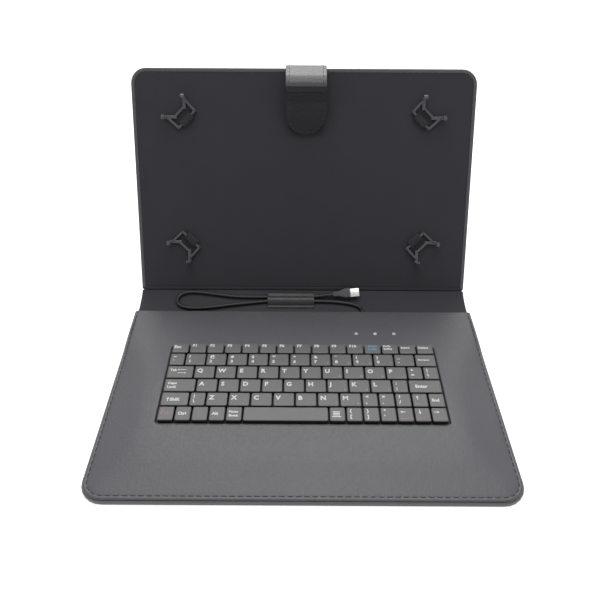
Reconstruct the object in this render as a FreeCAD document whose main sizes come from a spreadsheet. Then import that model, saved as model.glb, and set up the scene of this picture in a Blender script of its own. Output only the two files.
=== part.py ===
import FreeCAD, Part
import math
import os
import re

# Folding case for a ten inch tablet, open on a table: a keyboard panel lies flat, a soft spine joins
# it to the lid, and a leg behind the lid props it up. +Z is up, +Y points away from the person typing,
# and the origin is the middle of the keyboard panel's underside.

V = FreeCAD.Vector
doc = FreeCAD.newDocument("TabletKeyboardCase")

SIZES = {
    # panels and skins
    "case_width": 270.0,
    "panel_depth": 177.0,
    "corner_radius": 12.0,
    "spine_corner": 2.0,
    "skin": 1.2,
    "edge_round": 0.9,
    "seam_gap": 0.6,
    "seat_gap": 0.2,
    "fold_gap": 0.1,
    # keyboard panel, by layers from the table up
    "base_thickness": 8.0,
    "base_rim": 3.4,
    "base_board": 1.5,
    # keyboard module
    "key_block_width": 198.0,
    "key_block_middle": 6.7,
    "function_pitch": 10.0,
    "row_pitch": 13.1,
    # keys across a row, as shares of the block's width
    "narrow_share": 0.0586,
    "wide_share": 0.0783,
    "tab_share": 0.1,
    "caps_share": 0.1162,
    "shift_share": 0.1005,
    "key_gap": 0.8,
    "key_taper": 0.4,
    "key_height": 2.6,
    "key_wall": 0.9,
    "key_rise": 1.85,
    "key_travel": 1.6,
    "stem": 3.0,
    "stem_clearance": 0.5,
    "stem_gap": 0.05,
    "plate": 1.0,
    "tray_wall": 1.2,
    "tray_floor": 0.8,
    "tray_margin": 3.0,
    "membrane": 0.4,
    "dome_height": 1.2,
    "dome_foot": 2.4,
    "dome_top": 1.5,
    "window_margin": 1.3,
    # indicator lights and cable exit
    "light_row": 60.5,
    "light_first": 41.5,
    "light_pitch": 14.6,
    "light_radius": 1.45,
    "light_proud": 0.3,
    "controller_width": 56.0,
    "controller_depth": 16.0,
    "controller_thickness": 1.2,
    "gland_across": 48.4,
    "gland_height": 5.1,
    "gland_radius": 1.9,
    "gland_reach": 2.0,
    "cable_diameter": 3.0,
    # spine
    "spine_width": 26.5,
    "fold_offset": 3.0,
    "lining": 1.0,
    "lining_rise": 7.4,
    "lining_low": 3.0,
    "lining_sag": 0.65,
    "lining_front_gap": 0.4,
    "lining_back_gap": 0.9,
    "loop_left": -29.2,
    "loop_right": 9.5,
    "loop_front": 9.8,
    "loop_depth": 14.2,
    "loop_height": 4.3,
    "loop_seat": 0.15,
    "loop_band": 1.0,
    # plug on the cable
    "plug_length": 14.0,
    "plug_width": 8.4,
    "plug_neck": 4.6,
    "plug_thickness": 4.4,
    "plug_angle": 38.0,
    "shell_length": 7.5,
    "shell_width": 6.9,
    "shell_thickness": 1.9,
    "shell_wall": 0.3,
    # lid
    "lid_angle": 24.0,
    "lid_thickness": 6.0,
    "lid_fold_drop": 1.5,
    "lid_hem": 0.8,
    "lid_board": 2.2,
    "lid_rim": 3.6,
    "lining_rim": 1.8,
    # corner hooks on their elastics
    "hook_middle": 90.7,
    "hook_out": 98.5,
    "hook_up": 54.1,
    "hook_depth": 10.0,
    "hook_inner": 19.0,
    "hook_outer": 12.4,
    "hook_bar": 2.6,
    "hook_plate": 2.0,
    "hook_lift": 0.3,
    "hook_arm": 10.0,
    "hook_arm_width": 4.0,
    "hook_height": 10.5,
    "hook_lip": 2.6,
    "hook_lip_height": 1.5,
    "prong": 2.0,
    "prong_width": 5.0,
    "hook_travel": 20.0,
    "elastic": 0.8,
    "elastic_width": 11.0,
    "elastic_tail": 32.0,
    "elastic_riser": 1.6,
    "slit_gap": 0.4,
    # leg behind the lid
    "leg_length": 127.5,
    "leg_end_gap": 2.5,
    "leg_top": 84.0,
    "leg_foot": 72.0,
    "leg_corner": 10.0,
    "leg_board": 1.5,
    "leg_clearance": 0.6,
    # closure strap
    "strap_middle": 1.6,
    "strap_width": 31.4,
    "strap": 1.6,
    "strap_root": 27.0,
    "strap_root_corner": 6.0,
    "strap_gap": 0.15,
    "strap_bend": 16.5,
    "tab_length": 36.5,
    "tab_thickness": 2.2,
    "tab_corner": 13.0,
    "magnet_radius": 6.0,
    "magnet": 1.0,
}

sheet = doc.addObject("Spreadsheet::Sheet", "Sizes")
for row, (alias, value) in enumerate(SIZES.items(), 1):
    sheet.set(f"A{row}", alias)
    sheet.set(f"B{row}", str(value))
    sheet.setAlias(f"B{row}", alias)
doc.recompute()


def size(alias):
    """A driving size, read back from the sheet."""
    return float(sheet.get(alias))


def cell(text):
    """An expression in the sheet's aliases, in the form that a property takes."""
    return re.sub(r"[A-Za-z_]\w*", lambda m: "Sizes." + m[0] if m[0] in SIZES else m[0], text)


def bind(obj, **texts):
    for prop, text in texts.items():
        obj.setExpression(prop.replace("__", "."), cell(text))
    return obj


def box(name, length, width, height, x, y, z):
    """A box whose sizes and lowest corner follow the sheet."""
    obj = doc.addObject("Part::Box", name)
    bind(obj, Length=length, Width=width, Height=height)
    return bind(obj, Placement__Base__x=x, Placement__Base__y=y, Placement__Base__z=z)


def rod(name, radius, height, x, y, z, axis=V(0, 0, 1)):
    """A cylinder that stands on its given foot and points along an axis."""
    obj = doc.addObject("Part::Cylinder", name)
    bind(obj, Radius=radius, Height=height)
    obj.Placement.Rotation = FreeCAD.Rotation(V(0, 0, 1), axis)
    return bind(obj, Placement__Base__x=x, Placement__Base__y=y, Placement__Base__z=z)


def fuse(name, objects):
    obj = doc.addObject("Part::MultiFuse", name)
    obj.Shapes = objects
    return obj


def cut(name, base, tools):
    obj = doc.addObject("Part::Cut", name)
    obj.Base = base
    obj.Tool = tools[0] if len(tools) == 1 else fuse(name + "_tools", tools)
    return obj


def rounded(name, base, radius_of):
    """Fillets on each edge for which radius_of gives a radius."""
    doc.recompute()
    found = [(i, radius_of(e)) for i, e in enumerate(base.Shape.Edges, 1)]
    obj = doc.addObject("Part::Fillet", name)
    obj.Base = base
    obj.Edges = [(i, r, r) for i, r in found if r]
    return obj


def upright(edge):
    a, b = edge.Vertexes[0].Point, edge.Vertexes[-1].Point
    return abs(a.x - b.x) < 1e-6 and abs(a.y - b.y) < 1e-6


def panel(name, length, width, height, x, y, z, low_radius, high_radius):
    """A board with rounded corners: one radius at its low-Y end, another at its high-Y end."""
    board = box(name + "_block", length, width, height, x, y, z)
    doc.recompute()
    middle = board.Shape.BoundBox.Center.y

    def corner(edge):
        if upright(edge):
            return low_radius if edge.CenterOfMass.y < middle else high_radius
        return 0

    return rounded(name, board, corner)


def at_level(level, radius):
    """Chooses the edges that lie in one level plane."""
    def choose(edge):
        zone = edge.BoundBox
        return radius if abs(zone.ZMin - level) < 1e-6 and abs(zone.ZMax - level) < 1e-6 else 0
    return choose


def body_of(name):
    return doc.addObject("PartDesign::Body", name)


def sketch_on(body, role, name, lift=0.0):
    """A sketch on one of the body's own origin planes."""
    plane = next(f for f in body.Origin.OriginFeatures if f.Role == role)
    sketch = body.newObject("Sketcher::SketchObject", name)
    sketch.AttachmentSupport = (plane, "")
    sketch.MapMode = "FlatFace"
    sketch.AttachmentOffset = FreeCAD.Placement(V(0, 0, lift), FreeCAD.Rotation())
    return sketch


def draw(sketch, path):
    """Draws a closed path: a point for each straight side, and a pair (middle, end) for each arc."""
    start = path[0]
    here = V(*start, 0)
    for step in list(path[1:]) + [start]:
        if isinstance(step[0], tuple):
            middle, end = V(*step[0], 0), V(*step[1], 0)
            sketch.addGeometry(Part.Arc(here, middle, end), False)
        else:
            end = V(*step, 0)
            if (end - here).Length < 1e-9:
                continue
            sketch.addGeometry(Part.LineSegment(here, end), False)
        here = end


def pad(body, sketch, name, length, both_ways=False):
    feature = body.newObject("PartDesign::Pad", name)
    feature.Profile = sketch
    if both_ways:
        feature.SideType = "Symmetric"
    bind(feature, Length=length)
    return feature


def pocket(body, sketch, name, length, reverse=False):
    feature = body.newObject("PartDesign::Pocket", name)
    feature.Profile = sketch
    feature.Reversed = reverse
    bind(feature, Length=length)
    return feature


def strip(name, path, width):
    """A sheet seen end on: its section in the YZ plane, drawn out both ways along X."""
    body = body_of(name)
    section = sketch_on(body, "YZ_Plane", name + "_section")
    draw(section, path)
    pad(body, section, name + "_pad", width, both_ways=True)
    return body


def solid(name, shape):
    obj = doc.addObject("Part::Feature", name)
    obj.Shape = shape
    return obj


def polar(centre, radius, degrees):
    a = math.radians(degrees)
    return (centre[0] + radius * math.cos(a), centre[1] + radius * math.sin(a))


NODES = {}


def node(label, obj, placement=None):
    """Names a finished sub-part, and places it."""
    obj.Label = label
    if placement is not None:
        obj.Placement = placement.multiply(obj.Placement)
    NODES[label] = obj


# Derived places

half_depth = size("panel_depth") / 2
skin = size("skin")
outer_corner = size("corner_radius")
inner_corner = outer_corner - skin
hinge_radius = skin / 2

# the keyboard panel folds off the spine along line A, the spine off the lid along line B
fold_a = (half_depth + size("fold_offset"), hinge_radius)
lid_turn = FreeCAD.Rotation(V(1, 0, 0), 90 - size("lid_angle"))
lid_foot = V(0, half_depth + size("spine_width"), size("base_thickness"))
LID = FreeCAD.Placement(lid_foot, lid_turn)
fold_b_on_lid = V(0, -size("lid_fold_drop"), hinge_radius - size("lid_thickness"))
fold_b_point = LID.multVec(fold_b_on_lid)
fold_b = (fold_b_point.y, fold_b_point.z)

# Keyboard panel: outer skin with its turned-up rim, board, foam, and upper skin with its turned-down rim

flap_end = "panel_depth / 2 + fold_offset - skin / 2 - fold_gap"
shell = panel("base_skin", "case_width", f"panel_depth / 2 + {flap_end}", "base_rim",
              "-case_width / 2", "-panel_depth / 2", "0", outer_corner, 0)
shell = rounded("base_skin_round", shell, at_level(0.0, size("edge_round")))
bed = panel("base_bed", "case_width - 2 * skin", "panel_depth * 2", "base_rim",
            "skin - case_width / 2", "skin - panel_depth / 2", "skin", inner_corner, 0)
flap = box("base_flap_trim", "case_width + 2", "fold_offset + 1", "base_rim",
           "-case_width / 2 - 1", "panel_depth / 2", "skin")
node("base_outer_skin", cut("base_outer", shell, [bed, flap]))

board = panel("base_card", "case_width - 2 * skin - 2 * seat_gap", "panel_depth - skin - 2 * seat_gap",
              "base_board", "skin + seat_gap - case_width / 2", "skin + seat_gap - panel_depth / 2", "skin",
              inner_corner, size("spine_corner"))
keeper_y = "tab_length / 2 - panel_depth / 2 + 4"
keeper_bore = rod("keeper_bore", "magnet_radius + seat_gap", "base_board", "strap_middle", keeper_y, "skin")
node("base_board", cut("base_card_bored", board, [keeper_bore]))
node("strap_keeper", rod("keeper", "magnet_radius", "magnet", "strap_middle", keeper_y, "skin"))

tray_foot = "(skin + base_board)"
deck = "(base_thickness - skin)"
block_depth = "(function_pitch + 5 * row_pitch)"
tray_length = "(key_block_width + 2 * tray_margin)"
tray_width = f"({block_depth} + 2 * tray_margin)"
foam = panel("foam_slab", "case_width - 2 * skin - 2 * seat_gap", "panel_depth - 2 * skin - 2 * seat_gap",
             f"{deck} - {tray_foot}", "skin + seat_gap - case_width / 2",
             "skin + seat_gap - panel_depth / 2", tray_foot, inner_corner, size("spine_corner"))
tray_well = box("tray_well", f"{tray_length} + 2 * seat_gap", f"{tray_width} + 2 * seat_gap",
                "base_thickness", f"-{tray_length} / 2 - seat_gap",
                f"key_block_middle - {tray_width} / 2 - seat_gap", "0")
light_middle = "(light_first + light_pitch)"
controller_well = box("controller_well", "controller_width + 2 * seat_gap",
                      "controller_depth + 2 * seat_gap", "base_thickness / 2",
                      f"{light_middle} - controller_width / 2 - seat_gap",
                      "light_row - controller_depth / 2 - seat_gap", "0")
cable_well = box("cable_well", "2 * gland_radius + 2 * seat_gap", "panel_depth / 2 - light_row",
                 "base_thickness", "gland_across - gland_radius - seat_gap", "light_row", "0")
light_wells = [rod(f"light_well_{i}", "light_radius + seat_gap", "base_thickness",
                   f"light_first + {i} * light_pitch", "light_row", "0") for i in range(3)]
node("base_foam", cut("foam_cut", foam, [tray_well, controller_well, cable_well] + light_wells))

cover = panel("upper_skin", "case_width", "panel_depth", "base_thickness - base_rim - seam_gap",
              "-case_width / 2", "-panel_depth / 2", "base_rim + seam_gap", outer_corner,
              size("spine_corner"))
cover = rounded("upper_skin_round", cover, at_level(size("base_thickness"), size("edge_round")))
hollow = panel("upper_hollow", "case_width - 2 * skin", "panel_depth - 2 * skin", deck,
               "skin - case_width / 2", "skin - panel_depth / 2", "0", inner_corner, size("spine_corner"))
window = panel("key_window", "key_block_width + 2 * window_margin", f"{block_depth} + 2 * window_margin",
               "base_thickness * 2", "-key_block_width / 2 - window_margin",
               f"key_block_middle - {block_depth} / 2 - window_margin", "0", 2.0, 2.0)
light_holes = [rod(f"light_hole_{i}", "light_radius + fold_gap", "base_thickness * 2",
                   f"light_first + {i} * light_pitch", "light_row", "0") for i in range(3)]
gland_notch = box("gland_notch", "2 * gland_radius + 2 * fold_gap", "skin * 4",
                  "gland_height + gland_radius + fold_gap",
                  "gland_across - gland_radius - fold_gap", "panel_depth / 2 - skin * 2", "0")
node("base_top_skin", cut("upper_skin_cut", cover, [hollow, window, gland_notch] + light_holes))

# Keyboard module: tray, switch sheet, rubber domes and the plate that guides the key stems

tray = box("tray_block", tray_length, tray_width, f"{deck} - plate - {tray_foot}", f"-{tray_length} / 2",
           f"key_block_middle - {tray_width} / 2", tray_foot)
tray_room = box("tray_room", f"{tray_length} - 2 * tray_wall", f"{tray_width} - 2 * tray_wall",
                "base_thickness", f"tray_wall - {tray_length} / 2",
                f"key_block_middle - {tray_width} / 2 + tray_wall", f"{tray_foot} + tray_floor")
node("keyboard_tray", cut("tray_shell", tray, [tray_room]))

sheet_length = f"({tray_length} - 2 * tray_wall - 2 * seat_gap)"
sheet_width = f"({tray_width} - 2 * tray_wall - 2 * seat_gap)"
sheet_foot = f"({tray_foot} + tray_floor)"
node("switch_membrane", box("membrane_slab", sheet_length, sheet_width, "membrane", f"-{sheet_length} / 2",
                            f"key_block_middle - {sheet_width} / 2", sheet_foot))

# key rows from the back: name, the keys' pitches and each key's group or own name
FUNCTION_KEYS = 15
block = size("key_block_width")
KEY_KINDS = ("narrow", "wide", "tab", "caps", "shift")
narrow, wide, tab, caps, shift = (block * size(f"{kind}_share") for kind in KEY_KINDS)
function_key = block / FUNCTION_KEYS
number_end = block - narrow - 11 * wide
bracket_end = block - tab - 10 * wide - narrow
enter = block - caps - 9 * wide - narrow
end_key = block - shift - 7 * wide - 5 * narrow
space = block - 12 * narrow
ROWS = [
    [("key_escape", function_key)] + [("keys_function_row", function_key)] * (FUNCTION_KEYS - 2)
    + [("key_delete", function_key)],
    [("keys_number_row", narrow)] + [("keys_number_row", wide)] * 11 + [("key_backspace", number_end)],
    [("key_tab", tab)] + [("keys_upper_letters", wide)] * 10
    + [("keys_upper_letters", narrow), ("keys_upper_letters", bracket_end)],
    [("key_caps_lock", caps)] + [("keys_middle_letters", wide)] * 9
    + [("keys_middle_letters", narrow), ("key_enter", enter)],
    [("key_shift", shift), ("keys_lower_letters", narrow)] + [("keys_lower_letters", wide)] * 7
    + [("keys_lower_letters", narrow)] * 3 + [("key_up", narrow), ("key_end", end_key)],
    [("key_fn", narrow), ("key_control", narrow), ("key_home_screen", narrow), ("key_alt", narrow),
     ("keys_front_row", narrow), ("key_space", space)] + [("keys_front_row", narrow)] * 4
    + [("key_left", narrow), ("key_down", narrow), ("key_right", narrow)],
]
row_depths = [size("function_pitch")] + [size("row_pitch")] * 5
block_back = size("key_block_middle") + sum(row_depths) / 2
KEYS = []
row_back = block_back
for row, depth in zip(ROWS, row_depths):
    key_left = -block / 2
    for group, pitch in row:
        KEYS.append((group, pitch, depth, key_left + pitch / 2, row_back - depth / 2))
        key_left += pitch
    row_back -= depth


def stems_of(pitch):
    """Where a key's stems stand, from its middle: a long bar has two."""
    return [-pitch / 4, pitch / 4] if pitch > 3 * wide else [0.0]


STEMS = [(x + dx, y) for _, pitch, _, x, y in KEYS for dx in stems_of(pitch)]
dome_foot_z = skin + size("base_board") + size("tray_floor") + size("membrane")
dome_sheet = box("dome_slab", sheet_length, sheet_width, "membrane", f"-{sheet_length} / 2",
                 f"key_block_middle - {sheet_width} / 2", f"{sheet_foot} + membrane")
dome = doc.addObject("Part::Wedge", "dome_form")
bind(dome, Xmin="-dome_foot", Xmax="dome_foot", X2min="-dome_top", X2max="dome_top")
bind(dome, Ymin="0", Ymax="dome_height")
bind(dome, Zmin="-dome_foot", Zmax="dome_foot", Z2min="-dome_top", Z2max="dome_top")
dome.Placement.Rotation = FreeCAD.Rotation(V(1, 0, 0), 90)
doc.recompute()
dome_level = dome_foot_z + size("membrane")
domes = [dome.Shape.translated(V(x, y, dome_level)) for x, y in STEMS]
node("dome_sheet", solid("domes", dome_sheet.Shape.fuse(domes).removeSplitter()))

plate_foot = f"({deck} - plate)"
guide = box("guide_plate", tray_length, tray_width, "plate", f"-{tray_length} / 2",
            f"key_block_middle - {tray_width} / 2", plate_foot)
stem_hole = box("stem_hole", "stem + 2 * stem_clearance", "stem + 2 * stem_clearance", "plate * 3",
                "-stem / 2 - stem_clearance", "-stem / 2 - stem_clearance", f"{plate_foot} - plate")
doc.recompute()
holes = Part.makeCompound([stem_hole.Shape.translated(V(x, y, 0)) for x, y in STEMS])
guide_holes = solid("guide_holes", holes)
node("key_plate", cut("guide_plate_cut", guide, [guide_holes]))

# Keys: each cap is a hollow frustum on a square stem that stands just clear of its dome

key_foot = size("base_thickness") - skin + size("key_rise")
stem_foot = dome_level + size("dome_height") + size("stem_gap")


def key_form(name, pitch, depth):
    """A cap of one size, with its middle over the origin, at its height over the table."""
    half_x, half_y = (pitch - size("key_gap")) / 2, (depth - size("key_gap")) / 2
    taper, wall, height = size("key_taper"), size("key_wall"), size("key_height")

    def frustum(label, inset, top):
        body = doc.addObject("Part::Wedge", label)
        low, high = inset, inset + taper
        body.Xmin, body.Xmax, body.X2min, body.X2max = low - half_x, half_x - low, high - half_x, half_x - high
        body.Zmin, body.Zmax, body.Z2min, body.Z2max = low - half_y, half_y - low, high - half_y, half_y - high
        body.Ymin, body.Ymax = 0.0, top
        body.Placement = FreeCAD.Placement(V(0, 0, key_foot), FreeCAD.Rotation(V(1, 0, 0), 90))
        return body

    outer = frustum(name + "_outer", 0.0, height)
    cap = cut(name + "_cap", outer, [frustum(name + "_inner", wall, height - wall)])
    stem_top = key_foot + height - wall / 2
    stems = [box(f"{name}_stem_{i}", "stem", "stem", f"{stem_top - stem_foot:.6f}", f"{dx:.6f} - stem / 2",
                 "-stem / 2", f"{stem_foot:.6f}") for i, dx in enumerate(stems_of(pitch))]
    return fuse(name + "_form", [cap] + stems)


forms = {}
for _, pitch, depth, _, _ in KEYS:
    if (pitch, depth) not in forms:
        forms[pitch, depth] = key_form(f"key_size_{len(forms) + 1}", pitch, depth)
doc.recompute()
groups = {}
for group, pitch, depth, x, y in KEYS:
    groups.setdefault(group, []).append(forms[pitch, depth].Shape.Solids[0].translated(V(x, y, 0)))
for group, shapes in groups.items():
    node(group, solid(group + "_caps", shapes[0] if len(shapes) == 1 else Part.makeCompound(shapes)))

# Indicator lights on their board, and the boot that the cable leaves the panel through

node("controller_board", box("controller", "controller_width", "controller_depth", "controller_thickness",
                             f"{light_middle} - controller_width / 2", "light_row - controller_depth / 2",
                             tray_foot))
lights = [rod(f"light_{i}", "light_radius",
              f"base_thickness + light_proud - {tray_foot} - controller_thickness",
              f"light_first + {i} * light_pitch", "light_row", f"{tray_foot} + controller_thickness")
          for i in range(3)]
doc.recompute()
node("indicator_lights", solid("light_group", Part.makeCompound([light.Shape for light in lights])))
boot = rod("boot_core", "gland_radius", "2 * skin + gland_reach", "gland_across", "panel_depth / 2 - 2 * skin",
           "gland_height", V(0, 1, 0))
node("cable_gland", boot)

# Spine: outer skin between the two fold lines, and the lining that sags from the panel to the lid

along = math.atan2(fold_b[1] - fold_a[1], fold_b[0] - fold_a[0])
slope = math.degrees(along)
node("spine_outer_skin", strip("spine_skin", [
    polar(fold_a, hinge_radius, slope + 90),
    (polar(fold_a, hinge_radius, slope + 180), polar(fold_a, hinge_radius, slope + 270)),
    polar(fold_b, hinge_radius, slope - 90),
    (polar(fold_b, hinge_radius, slope), polar(fold_b, hinge_radius, slope + 90)),
], "case_width"))

lining = size("lining")
lining_front = (half_depth + size("lining_front_gap"), size("lining_low"))
lining_back = (lid_foot.y - size("lining_back_gap"), size("lining_rise"))
lining_dip = ((lining_front[0] + lining_back[0]) / 2, size("lining_low") + size("lining_sag"))


def arc_centre(a, b, c):
    circle = Part.Circle(V(*a, 0), V(*b, 0), V(*c, 0))
    return (circle.Center.x, circle.Center.y), circle.Radius


bow, bow_radius = arc_centre(lining_front, lining_dip, lining_back)


def bow_angle(point):
    return math.degrees(math.atan2(point[1] - bow[1], point[0] - bow[0]))


def on_bow(across, lift=0.0):
    """The point of the lining's upper face at one distance back, lifted square to it."""
    low = bow[1] - math.sqrt(bow_radius ** 2 - (across - bow[0]) ** 2)
    return polar(bow, bow_radius - lift, bow_angle((across, low)))


node("spine_lining", strip("spine_sheet", [
    lining_front,
    (lining_dip, lining_back),
    on_bow(lining_back[0], -lining),
    (on_bow(lining_dip[0], -lining), on_bow(lining_front[0], -lining)),
], "case_width"))

# the strap that keeps the cable: a flat sewn foot in front, a bulge over two strands, a sewn foot behind
band = size("loop_band")
loop_front = half_depth + size("loop_front")
loop_depth, loop_height, loop_seat = size("loop_depth"), size("loop_height"), size("loop_seat")
# shares of the strap's depth and height; each step also says how far its upper face moves along
LOOP_STEPS = [(0.0, 0.0, 0.0), (0.12, 0.0, -0.5), (0.232, 0.91, -0.5), (0.746, 1.0, 0.4), (0.88, 0.11, 0.8),
              (0.908, 0.0, 0.6), (1.0, 0.0, 0.0)]
loop_points = [(loop_front + share * loop_depth, max(loop_seat, rise * loop_height))
               for share, rise, _ in LOOP_STEPS]
under = [on_bow(y, lift) for y, lift in loop_points]
over = [on_bow(y + move * band, lift + band) for (y, lift), (_, _, move) in zip(loop_points, LOOP_STEPS)]
loop_width = size("loop_right") - size("loop_left")
node("cable_loop", strip("cable_strap", under + over[::-1], "loop_right - loop_left"),
     FreeCAD.Placement(V((size("loop_right") + size("loop_left")) / 2, 0, 0), FreeCAD.Rotation()))

# Cable: from the boot, left under the strap, round a loop on the spine and back under the strap to the plug

CABLE = [
    (48.4, 90.5, 5.1), (48.4, 95.0, 5.1), (44.2, 99.0, 5.3), (35.8, 101.7, 5.4), (24.0, 103.3, 5.6),
    (9.0, 103.5, 5.7), (-9.5, 103.4, 5.7), (-27.0, 103.7, 5.7), (-42.0, 101.4, 5.5), (-60.5, 98.6, 5.3),
    (-78.0, 94.8, 5.2), (-91.0, 93.8, 5.2), (-99.4, 96.0, 5.3), (-104.2, 101.4, 5.7), (-103.6, 108.2, 7.1),
    (-97.2, 112.4, 8.5), (-87.0, 112.6, 8.6), (-73.0, 109.8, 7.6), (-56.0, 107.4, 6.9), (-40.0, 107.5, 6.7),
    (-21.0, 107.7, 6.7), (-2.0, 107.4, 6.7), (11.0, 107.6, 7.5), (19.0, 107.8, 8.6), (25.3, 107.9, 9.3),
]


def cable_path(points):
    """Straight runs joined by tangent arcs, each as large as its two runs allow, with the arcs' radii."""
    route = [V(*p) for p in points]
    edges, radii, here = [], [], route[0]
    for before, corner, after in zip(route, route[1:], route[2:]):
        back, on = before - corner, after - corner
        short = min(back.Length, on.Length)
        turn = math.pi - back.getAngle(on)
        reach = 0.45 * short
        radii.append(reach / math.tan(turn / 2))
        back.normalize()
        on.normalize()
        start, end = corner + back * reach, corner + on * reach
        bisector = (back + on).normalize()
        depth = radii[-1] / math.cos(turn / 2) - radii[-1]
        edges.append(Part.LineSegment(here, start).toShape())
        edges.append(Part.Arc(start, corner + bisector * depth, end).toShape())
        here = end
    edges.append(Part.LineSegment(here, route[-1]).toShape())
    return Part.Wire(edges), radii


path, radii = cable_path(CABLE)
cable_radius = size("cable_diameter") / 2
first_run = V(*CABLE[1]) - V(*CABLE[0])
section = Part.Wire([Part.makeCircle(cable_radius, V(*CABLE[0]), first_run)])
tube = path.makePipeShell([section], True, False)
print("cable length", round(path.Length, 1), "radii", [round(r, 1) for r in radii])
print("cable volume", round(tube.Volume, 1), "section times length",
      round(math.pi * cable_radius ** 2 * path.Length, 1))
node("usb_cable", solid("cable_tube", tube))

# Plug: a moulded grip that widens towards the metal shell, both rolled to lean on the lid's foot
cable_end = V(*CABLE[-1])
run_out = cable_end - V(*CABLE[-2])
run_out.normalize()
PLUG = FreeCAD.Placement(cable_end, FreeCAD.Rotation(V(1, 0, 0), run_out).multiply(
    FreeCAD.Rotation(V(1, 0, 0), size("plug_angle"))))
grip = body_of("plug_grip")
frames = []
# shares of the grip's length, the width there and the share of its thickness
GRIP_STEPS = [(0.0, "plug_neck", 0.84), (0.3, "plug_neck", 0.9), (0.72, "plug_width", 1.0),
              (1.0, "plug_width", 1.0)]
for i, (share, width, height) in enumerate(GRIP_STEPS):
    frame = sketch_on(grip, "YZ_Plane", f"grip_section_{i}", share * size("plug_length"))
    half_w, half_h = size(width) / 2, size("plug_thickness") * height / 2
    r = half_h * 0.55
    slip = r * (1 - math.sqrt(0.5))
    draw(frame, [
        (half_w - r, -half_h), ((half_w - slip, slip - half_h), (half_w, r - half_h)),
        (half_w, half_h - r), ((half_w - slip, half_h - slip), (half_w - r, half_h)),
        (r - half_w, half_h), ((slip - half_w, half_h - slip), (-half_w, half_h - r)),
        (-half_w, r - half_h), ((slip - half_w, slip - half_h), (r - half_w, -half_h)),
    ])
    frames.append(frame)
loft = grip.newObject("PartDesign::AdditiveLoft", "grip_loft")
loft.Profile = frames[0]
loft.Sections = frames[1:]
loft.Ruled = True
node("usb_plug_grip", grip, PLUG)

shell_outer = box("shell_outer", "shell_length", "shell_width", "shell_thickness", "plug_length",
                  "-shell_width / 2", "-shell_thickness / 2")
shell_bore = box("shell_bore", "shell_length", "shell_width - 2 * shell_wall",
                 "shell_thickness - 2 * shell_wall", "plug_length + shell_wall",
                 "shell_wall - shell_width / 2", "shell_wall - shell_thickness / 2")
tongue = box("shell_tongue", "shell_length - 1", "shell_width - 2.4", "shell_thickness / 3", "plug_length",
             "1.2 - shell_width / 2", "shell_wall - shell_thickness / 2")
node("usb_plug_shell", fuse("shell_form", [cut("shell_tube", shell_outer, [shell_bore]), tongue]), PLUG)

# Lid, drawn flat: Y runs up from the spine and Z points to the tablet side

lid_back = "(-lid_thickness)"
lid_skin = panel("lid_skin", "case_width", "panel_depth + lid_hem", "lid_rim", "-case_width / 2", "-lid_hem",
                 lid_back, size("spine_corner"), outer_corner)
lid_skin = rounded("lid_skin_round", lid_skin, at_level(-size("lid_thickness"), size("edge_round")))
lid_bed = panel("lid_bed", "case_width - 2 * skin", "2 * panel_depth", "lid_rim", "skin - case_width / 2",
                "-panel_depth - skin", f"skin + {lid_back}", 0, inner_corner)
LEG_ROOM = size("leg_clearance")


def leg_outline(grow, top, foot):
    """The leg seen from behind, hanging from its fold line at Y = 0, with a rounded foot."""
    half_top, half_foot = size("leg_top") / 2 + grow, size("leg_foot") / 2 + grow
    low, r = -foot, size("leg_corner") + grow
    lean = (half_top - half_foot) / foot
    slip = r * (1 - math.sqrt(0.5))
    up = low + r
    side = half_foot + lean * r
    return [(-half_top, top), (-side, up), ((slip - half_foot, low + slip), (r - half_foot, low)),
            (half_foot - r, low), ((half_foot - slip, low + slip), (side, up)), (half_top, top)]


def leg_plate(name, grow, top, foot, thickness, lift):
    body = body_of(name)
    outline = sketch_on(body, "XY_Plane", name + "_outline", lift)
    draw(outline, leg_outline(grow, top, foot))
    pad(body, outline, name + "_pad", thickness)
    return body


fold_height = size("leg_length") + size("leg_end_gap")
leg_axis = V(0, fold_height, hinge_radius - size("lid_thickness"))
leg_foot_end = size("leg_length")
recess = size("leg_board") + 0.2
slot_tool = leg_plate("leg_slot", LEG_ROOM, hinge_radius + 0.1, leg_foot_end + LEG_ROOM, "skin + 1",
                      -hinge_radius - 0.5)
slot_tool.Placement = FreeCAD.Placement(leg_axis, FreeCAD.Rotation())
node("lid_outer_skin", cut("lid_skin_cut", lid_skin, [lid_bed, slot_tool]), LID)

lid_card = panel("lid_card", "case_width - 2 * skin - 2 * seat_gap", "panel_depth - skin - seat_gap",
                 "lid_board", "skin + seat_gap - case_width / 2", "0", f"skin + {lid_back}",
                 size("spine_corner"), inner_corner)
recess_tool = leg_plate("leg_recess", LEG_ROOM, -0.6, leg_foot_end + LEG_ROOM, "leg_board + 0.4",
                        hinge_radius - 0.2)
recess_tool.Placement = FreeCAD.Placement(leg_axis, FreeCAD.Rotation())
node("lid_board", cut("lid_card_cut", lid_card, [recess_tool]), LID)

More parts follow.
